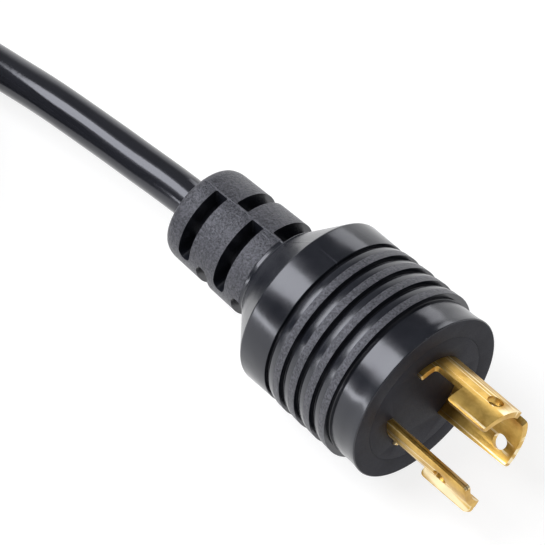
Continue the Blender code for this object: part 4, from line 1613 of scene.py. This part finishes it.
    def hank(self, run: float) -> list[Vector]:
        """The loops: run, far fold, run back and near fold, over and over, up to the end of the last run.

        Args:
            run: The runs' length.

        Returns:
            Their points.
        """
        points = []
        for half in range(self.runs):
            side = 1 if half % 2 == 0 else -1
            for i in range(self.run_steps):
                along = run * (0.5 - i / self.run_steps)
                turns = half / 2 - 2 * self.lead_in * along / run
                points.append(self.run_point(run, turns, side, side * along))
            for i in range(self.fold_steps):
                turns = half / 2 + self.lead_in + self.fold_turns * i / self.fold_steps
                points.append(self.fold_point(run, turns, -side, i / self.fold_steps))
        return points[: 1 - self.fold_steps]

    def tail(self, run: float, rear: Vector) -> list[Vector]:
        """Round the far fold of the last turn and on to the connector, rising all the way off the top layer.

        Args:
            run: The runs' length.
            rear: The connector's rear end.

        Returns:
            The stretch's points.
        """
        start = self.run_point(run, self.last_turn, 1, -run / 2)
        lead = Vector((1.5 * self.diameter + self.gap, 0, 0))
        far = self.fold_point(run, self.last_turn + self.fold_turns, -1, 1.0) - lead
        arc = math.pi * self.fold_radius(self.last_turn)
        straight = rear.x - self.gap - self.diameter - far.x
        climb = rear.z - start.z
        points = []
        for i in range(self.fold_steps + 1):
            share = i / self.fold_steps
            point = self.fold_point(run, self.last_turn + self.fold_turns * share, -1, share) - lead
            point.z += climb * smooth_step(arc * share / (arc + straight))
            points.append(point)
        for i in range(1, self.run_steps + 1):
            share = i / self.run_steps
            across = far.y + (rear.y - far.y) * smooth_step(share)
            climbed = smooth_step((arc + straight * share) / (arc + straight))
            points.append(Vector((far.x + straight * share, across, start.z + climb * climbed)))
        return [*points, rear - Vector((self.gap, 0, 0)), rear]

    def centreline(self, plug: Overmould, connector: Overmould) -> list[Vector]:
        """The whole route.

        Args:
            plug: The moulding that the lead leaves.
            connector: The moulding that it enters.

        Returns:
            Closely spaced points.
        """
        exit_point = plug.centre - Vector((plug.length, 0, 0))
        rear = connector.centre - Vector((connector.length, 0, 0))
        free = self.free_run(exit_point - Vector((self.gap, 0, 0)))
        run = self.run_length(free)
        return [exit_point, *free, *self.hank(run), *self.tail(run, rear)]

    def tube(self, path: Sequence[Vector], material: Material) -> Object:
        """A round tube with a UV map in metres and a faint swell over the twisted cores.

        Args:
            path: The points along its middle.
            material: Its material.

        Returns:
            The tube.
        """
        bm = bmesh.new()
        chart = bm.loops.layers.uv.new("lead")
        rings, walked = [], [0.0]
        for start, end in zip(path, path[1:]):
            walked.append(walked[-1] + (end - start).length)
        side = Vector((0, 1, 0))
        for i, point in enumerate(path):
            ahead = (path[min(i + 1, len(path) - 1)] - path[max(i - 1, 0)]).normalized()
            side = (side - ahead * side.dot(ahead)).normalized()
            up = ahead.cross(side)
            ring = []
            twist = math.tau * walked[i] / self.lay_length
            for angle in even_angles(self.sides):
                swell = self.lay_height * math.cos(self.cores * (angle - twist))
                spoke = side * math.cos(angle) + up * math.sin(angle)
                ring.append(bm.verts.new(point + (self.radius - self.lay_height + swell) * spoke))
            rings.append(ring)
        turn = math.tau * self.radius / self.sides
        lay_out(chart, span_rings(bm, rings), walked, [turn * k for k in range(self.sides + 1)])
        thing = piece("supply_lead", bm, [material])
        smooth(thing, limit=50.0)
        return thing

    def build(self, plug: Overmould, connector: Overmould, material: Material) -> Object:
        """Makes the lead.

        Args:
            plug: The moulding that it leaves.
            connector: The moulding that it enters.
            material: Its material.

        Returns:
            The lead.
        """
        path = self.centreline(plug, connector)
        thing = self.tube(path, material)
        seat(thing, ["cord_run", "cord_hank", "cord_tail"])
        log.info("lead: %.3f m", self.path_length(path))
        return thing

    def declare(self, plug: Overmould, connector: Overmould, on_it: Iterable[object]) -> None:
        """Works out the lead's route and leaves it unused.

        Args:
            plug: The moulding that it leaves.
            connector: The moulding that it enters.
            on_it: Not used.
        """
        path = self.centreline(plug, connector)


@dataclass
class Strap:
    """The hook-and-loop strap round the hank's waist: one band whose sewn end laps over its start on top."""

    node: str = "cord_strap"
    thickness: float = 1.5 * MM
    lap: float = 34 * MM
    start_inset: float = 1 * MM
    corner: float = 4.65 * MM
    corner_steps: int = 10
    straight_step: float = 2.0 * MM
    ramp: float = 7.0 * MM
    sag: float = 0.55 * MM
    sag_span: float = 16 * MM
    sag_reach: float = 1.3
    edge: float = 0.55 * MM
    edge_slope: tuple[Span, ...] = ((0.0, 0.0), (0.12, 0.55), (0.5, 0.9), (1.0, 1.0))
    seam_inset: float = 2.4 * MM
    seam_groove: float = 0.16 * MM
    seam_slope: tuple[Span, ...] = (
        (0.55 * MM, 0.0),
        (0.25 * MM, 0.6),
        (0.0, 1.0),
        (-0.25 * MM, 0.6),
        (-0.55 * MM, 0.0),
    )
    stitch_length: float = 2.5 * MM
    stitch_pitch: float = 3.3 * MM
    stitch_radius: float = 0.30 * MM
    stitch_sides: int = 8
    stitch_places: tuple[float, ...] = (-1.0, -0.8, -0.4, 0.0, 0.4, 0.8, 1.0)
    stitch_taper: float = 0.55
    stitch_dip: float = 0.9
    stitch_rows: tuple[float, ...] = (2.2 * MM, 5.6 * MM)

    def frame(self) -> tuple[float, float, float, float]:
        """Left, right, bottom and top of the band's middle line, without its lap."""
        low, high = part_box(self.node)
        half = self.thickness / 2
        return low.y + half, high.y - half, low.z + half, high.z - self.thickness - half

    def loop(self) -> list[Span]:
        """The band's way round the hank, still without its lap and its sag.

        Returns:
            Points (y, z), from the start under the lap round the hank to the lap's end.
        """
        left, right, bottom, top = self.frame()
        middle, radius = (left + right) / 2, self.corner
        spots = [(middle + self.lap / 2 - self.start_inset, top)]
        spots += self.stretch(spots[-1], (left + radius, top))
        quarters = (
            ((left, top), (left, bottom + radius)),
            ((left, bottom), (right - radius, bottom)),
            ((right, bottom), (right, top - radius)),
            ((right, top), (middle - self.lap / 2, top)),
        )
        for quarter, ((y, z), end) in enumerate(quarters):
            centre_y = y + radius * (1 if y < middle else -1)
            centre_z = z + radius * (1 if z < (top + bottom) / 2 else -1)
            for i in range(1, self.corner_steps + 1):
                angle = math.pi / 2 * (1 + quarter + i / self.corner_steps)
                spots.append((centre_y + radius * math.cos(angle), centre_z + radius * math.sin(angle)))
            spots += self.stretch(spots[-1], end)
        return spots

    def line(self) -> list[tuple[float, float, float]]:
        """The band's middle line across the hank.

        Returns:
            Points (y, z, walked), from the start under the lap round the hank to the lap's end.
        """
        left, right, _, top = self.frame()
        middle = (left + right) / 2
        spots = self.loop()
        line = []
        walked = 0.0
        over = False
        for i, (y, z) in enumerate(spots):
            walked += math.dist(spots[i - 1], (y, z)) if i else 0.0
            over = over or (i > len(spots) / 2 and z > top - self.corner / 2)
            height = z
            if z > top - 0.01 * MM:
                height -= self.sag * smooth_step(self.sag_reach - abs(y - middle) / self.sag_span)
            if over:
                height += self.thickness * smooth_step((middle + self.lap / 2 + self.ramp - y) / self.ramp)
            line.append((y, height, walked))
        return line

    def stretch(self, start: Span, end: Span) -> list[Span]:
        """Points after the start of a straight stretch, up to its end.

        Args:
            start: Its start.
            end: Its end.

        Returns:
            The points.
        """
        count = max(1, round(math.dist(start, end) / self.straight_step))
        shares = [i / count for i in range(1, count + 1)]
        return [(start[0] + (end[0] - start[0]) * t, start[1] + (end[1] - start[1]) * t) for t in shares]

    def section(self, width: float) -> list[Span]:
        """The band's section.

        Args:
            width: The band's width.

        Returns:
            Points once round it: place across the band, and height over its middle line.
        """
        half, side = self.thickness / 2, width / 2
        seam = side - self.seam_inset
        upper = [(side - inset * self.edge, height * half) for inset, height in self.edge_slope]
        upper += [(seam + across, half - depth * self.seam_groove) for across, depth in self.seam_slope]
        upper.append((seam / 2, half))
        over = upper + [(-x, height) for x, height in reversed(upper)]
        return over + [(-x, -height) for x, height in over[1:-1]]

    def band(self, fabric: Material) -> Object:
        """The band along its line, with a UV map in metres.

        Args:
            fabric: Its material.

        Returns:
            The band.
        """
        low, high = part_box(self.node)
        middle = (low.x + high.x) / 2
        section = self.section(high.x - low.x)
        around = [0.0]
        for here, there in zip(section, section[1:] + section[:1]):
            around.append(around[-1] + math.dist(here, there))
        bm = bmesh.new()
        chart = bm.loops.layers.uv.new("strap")
        line = self.line()
        rings = []
        for i, (y, z, _) in enumerate(line):
            before, after = line[max(i - 1, 0)], line[min(i + 1, len(line) - 1)]
            ahead = Vector((0.0, after[0] - before[0], after[1] - before[1])).normalized()
            out = Vector((0.0, ahead.z, -ahead.y))
            rings.append([bm.verts.new(Vector((middle + x, y, z)) + height * out) for x, height in section])
        lay_out(chart, span_rings(bm, rings), [walked for _, _, walked in line], around)
        thing = piece("hank_strap", bm, [fabric])
        smooth(thing, limit=45.0)
        return thing

    def stitches(self, thread: Material) -> Object:
        """Rows of stitches across the lap's end.

        Args:
            thread: Their material.

        Returns:
            All stitches in one piece.
        """
        low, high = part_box(self.node)
        middle = (low.x + high.x) / 2
        end_y, end_z, _ = self.line()[-1]
        reach = (high.x - low.x) / 2 - self.seam_inset - self.stitch_pitch
        count = int(2 * reach / self.stitch_pitch)
        bm = bmesh.new()
        for row in self.stitch_rows:
            for i in range(count + 1):
                x = middle + (i - count / 2) * self.stitch_pitch
                self.add_stitch(bm, Vector((x, end_y + row, end_z + self.thickness / 2)))
        thing = piece("hank_strap_stitches", bm, [thread])
        smooth(thing, limit=60.0)
        return thing

    def add_stitch(self, bm: Mesh, place: Vector) -> None:
        """Adds one stitch: a short thread that dips into the fabric at both ends.

        Args:
            bm: The mesh of all stitches.
            place: The stitch's middle.
        """
        rings = []
        for share in self.stitch_places:
            thick = self.stitch_radius * (1.0 - self.stitch_taper * abs(share) ** 3)
            dip = -self.stitch_dip * self.stitch_radius * share * share
            middle = place + Vector((share * self.stitch_length / 2, 0.0, dip))
            angles = even_angles(self.stitch_sides)
            spokes = [Vector((0.0, math.cos(angle), math.sin(angle))) for angle in angles]
            rings.append([bm.verts.new(middle + thick * spoke) for spoke in spokes])
        span_rings(bm, rings)

    def build(self) -> list[Object]:
        """Makes the strap where its CAD node is.

        Returns:
            The band and its stitches.
        """
        band = self.band(StrapFabric("strap_loop_pile").material())
        seat(band, [self.node])
        stitches = self.stitches(SewingThread("strap_thread").material())
        seat(stitches, [])
        return [band, stitches]


# ------------------------------------------------------------------ the two ends


@dataclass
class EndFittings:
    """What the two mouldings hold: the CAD nodes that stay, with their finishes."""

    brass: Material
    plastic: Material
    insulation: tuple[Colour, ...] = ((0.03, 0.26, 0.07), (0.018, 0.018, 0.019), (0.74, 0.74, 0.70))

    def dress_wiring(self) -> None:
        """Gives the cores, strands and jacket ends of both mouldings their finishes."""
        copper = StrandedCopper("copper_strands").material()
        names = ("core_green", "core_black", "core_white")
        covers = [CoreInsulation(name, colour).material() for name, colour in zip(names, self.insulation)]
        jacket = GlossyPvc("jacket_end").material()
        for end in ("plug", "connector"):
            dress(f"{end}_jacket_end", jacket)
            for core, cover in zip(CORES, covers):
                dress(f"{end}_core_{core}", cover)
                dress(f"{end}_strands_{core}", copper)

    def dress_contacts(self) -> None:
        """Gives the connector's contacts and their housing their finishes."""
        dress("connector_contact_housing", self.plastic)
        for core in CORES:
            dress(f"connector_contact_{core}", self.brass)

    @staticmethod
    def in_connector() -> list[object]:
        """The CAD nodes inside the connector."""
        names = ["contact_housing", "jacket_end"]
        names += [f"{part}_{core}" for part in ("contact", "core", "strands") for core in CORES]
        return [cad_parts[f"connector_{name}"] for name in names]


# ------------------------------------------------------------------ the studio


@dataclass(frozen=True)
class Softbox:
    """A soft rectangular lamp that looks at the plug, its long side along a given direction."""

    name: str
    direction: Direction
    distance: float
    size: Span
    power: float
    long_side: Direction = (1.0, 0.0, 0.0)
    colour: Colour = (0.97, 0.98, 1.0)

    def place(self, target: Vector) -> None:
        """Hangs the lamp.

        Args:
            target: Where it looks.
        """
        lamp = bpy.data.lights.new(self.name, "AREA")
        lamp.shape = "RECTANGLE"
        lamp.size, lamp.size_y = self.size
        lamp.energy = self.power
        lamp.color = self.colour
        away = Vector(self.direction).normalized()
        across = away.cross(Vector(self.long_side)).normalized()
        stand(in_scene(self.name, lamp), (across.cross(away), across, away), target + away * self.distance)


@dataclass(frozen=True)
class Studio:
    """Camera, lamps, pale floor and surroundings."""

    camera_right: Direction = (0.678, 0.7345, 0.0)
    camera_up: Direction = (-0.577, 0.532, 0.619)
    camera_offset: Direction = (0.4234, -0.4279, 0.7989)
    focal_pixels: float = 5585.5
    picture_pixels: float = 545.0
    sensor: float = 36.0
    farthest: float = 100.0
    floor_reach: float = 12.0
    floor_colour: float = 0.30
    floor_roughness: float = 0.9
    floor_glow: float = 0.80
    sky_span: Span = (0.05, 0.40)
    horizon_glow: float = 1.0
    zenith_glow: float = 0.14
    key_direction: Direction = (-0.52, -0.38, 0.76)

    def camera(self, target: Vector) -> None:
        """Sets up the camera at the photograph's angle.

        Args:
            target: The middle of the plug's face, from which its place was measured.
        """
        lens = bpy.data.cameras.new("camera")
        lens.sensor_width = self.sensor
        lens.lens = self.focal_pixels * self.sensor / self.picture_pixels
        lens.clip_end = self.farthest
        right = Vector(self.camera_right).normalized()
        back = right.cross(Vector(self.camera_up)).normalized()
        thing = in_scene("camera", lens)
        stand(thing, (right, back.cross(right), back), target + Vector(self.camera_offset))
        bpy.context.scene.camera = thing
        bpy.context.scene.view_settings.view_transform = "Standard"

    @staticmethod
    def seen_share(sheet: NodeSheet) -> Socket:
        """What the camera sees, straight or in gloss and glass.

        Args:
            sheet: The nodes that it is added to.

        Returns:
            A share that is 1 for camera, glossy and transmission rays, and 0 for others.
        """
        rays = sheet.add("LightPath", {}).outputs
        share = rays["Is Camera Ray"]
        for name in ("Is Glossy Ray", "Is Transmission Ray"):
            share = sheet.add("Math", {0: share, 1: rays[name]}, operation="MAXIMUM").outputs["Value"]
        return share

    def floor(self) -> None:
        """Lays a plain pale floor that glows for the camera and in gloss, and keeps the object's shadow."""
        bm = bmesh.new()
        bmesh.ops.create_grid(bm, x_segments=1, y_segments=1, size=self.floor_reach)
        sheet = NodeSheet.of_material("studio_floor")
        glow = sheet.add("Math", {0: self.seen_share(sheet), 1: self.floor_glow}, operation="MULTIPLY")
        sheet.surface(
            Base_Color=(*[self.floor_colour] * 3, 1.0),
            Roughness=self.floor_roughness,
            Specular_IOR_Level=0.0,
            Emission_Color=(1.0, 1.0, 1.0, 1.0),
            Emission_Strength=glow.outputs["Value"],
        )
        piece("studio_floor", bm, [sheet.owner])

    def surroundings(self) -> None:
        """A world that is white at the horizon and dim overhead."""
        sheet = NodeSheet(bpy.data.worlds.new("studio"), "Background", "Generated")
        bpy.context.scene.world = sheet.owner
        height = sheet.add("SeparateXYZ", {"Vector": sheet.place}).outputs["Z"]
        bottom, top = self.sky_span
        inputs = {"Value": height, "From Min": bottom, "From Max": top}
        inputs |= {"To Min": self.horizon_glow, "To Max": self.zenith_glow}
        fade = sheet.add("MapRange", inputs, interpolation_type="SMOOTHSTEP")
        sheet.surface(Color=(1.0, 1.0, 1.0, 1.0), Strength=fade.outputs["Result"])

    def light(self, target: Vector) -> None:
        """Hangs the lamps.

        Args:
            target: Where they all look.
        """
        lamps = (
            Softbox("key_softbox", self.key_direction, distance=1.1, size=(1.10, 0.60), power=11.5),
            Softbox("key_halo_softbox", self.key_direction, distance=1.2, size=(1.2, 1.0), power=2.4),
            Softbox("strip_softbox", (-0.50, -0.85, 0.11), distance=1.0, size=(1.4, 0.10), power=3.4),
            Softbox("far_softbox", (-0.30, 0.86, 0.40), distance=1.2, size=(0.7, 0.45), power=2.6),
            Softbox("top_softbox", (0.35, 0.45, 0.95), distance=1.3, size=(0.9, 0.9), power=1.0),
        )
        for lamp in lamps:
            lamp.place(target)


# ------------------------------------------------------------------ everything


def plug_blades() -> list[Blade]:
    """The three blades: the ground blade, and the two line blades to both sides of the place opposite it.

    Returns:
        The blades.
    """
    ground_angle = math.radians(251)
    spread = math.radians(94)
    opposite = ground_angle + math.pi
    ground = {"width": 8.7 * MM, "length": 20.1 * MM, "foot": 0.5 * MM, "notch": 2.5 * MM}
    line = {"width": 11.1 * MM, "length": 16.9 * MM, "foot": 1.0 * MM, "notch": 3.8 * MM}
    return [
        Blade("ground", ground_angle, hole_inset=3.4 * MM, flanged=True, **ground),
        Blade("line_1", opposite - spread / 2, hole_inset=4.8 * MM, **line),
        Blade("line_2", opposite + spread / 2, hole_inset=3.6 * MM, **line),
    ]


def main() -> None:
    """Builds the pieces in order."""
    logging.basicConfig(level=logging.INFO, format="%(name)s: %(message)s")
    plug = Overmould(
        "plug_overmould",
        rim_radius=17.5 * MM,
        rib_count=4,
        rear_band=6.9 * MM,
        pocket_radius=13.55 * MM,
        pocket_depth=12.3 * MM,
        wiring_depth=19.3 * MM,
    )
    connector = Overmould(
        "connector_overmould",
        rim_radius=19.0 * MM,
        rib_count=5,
        rear_band=12.0 * MM,
        pocket_radius=15.55 * MM,
        pocket_depth=29.6 * MM,
        wiring_depth=35.6 * MM,
        stations=120,
    )
    studio = Studio()
    studio.camera(plug.centre)
    lead = SupplyLead()
    cord = lead.build(plug, connector, ExtrudedPvc("jacket_pvc_extruded").material())
    strap = Strap().build()
    studio.floor()
    studio.surroundings()
    studio.light(plug.centre)

    skins = [
        GlossyPvc("black_pvc_glossy").material(),
        GrainedPvc("black_pvc_grained").material(),
        FacePlastic("black_pvc_face").material(),
    ]
    brass = StampedBrass("stamped_brass").material()
    plastic = FacePlastic("insert_plastic_etched", broad=Grain(7 * MM, 4.0, 0.6)).material()
    plug.build(skins)
    far_skin = connector.build(skins)

    blades = plug_blades()
    for blade in blades:
        blade.build(plug.centre, brass)
    carrier = FaceDisc(
        "plug_blade_carrier", 13.53 * MM, 12.0 * MM, edge=0.03 * MM, clearance=0.05 * MM, lip=0.03 * MM
    )
    carrier.build(plug.centre, blades, plastic)
    entry = FaceDisc(
        "connector_entry_face", 15.5 * MM, 6.0 * MM, edge=0.2 * MM, clearance=0.4 * MM, mirrored=True
    )
    far_face = entry.build(connector.centre, blades, plastic)

    fittings = EndFittings(brass, plastic)
    fittings.dress_wiring()
    fittings.dress_contacts()
    lead.declare(plug, connector, [far_skin, far_face, *strap, *fittings.in_connector()])


if __name__ == "__main__":
    main()
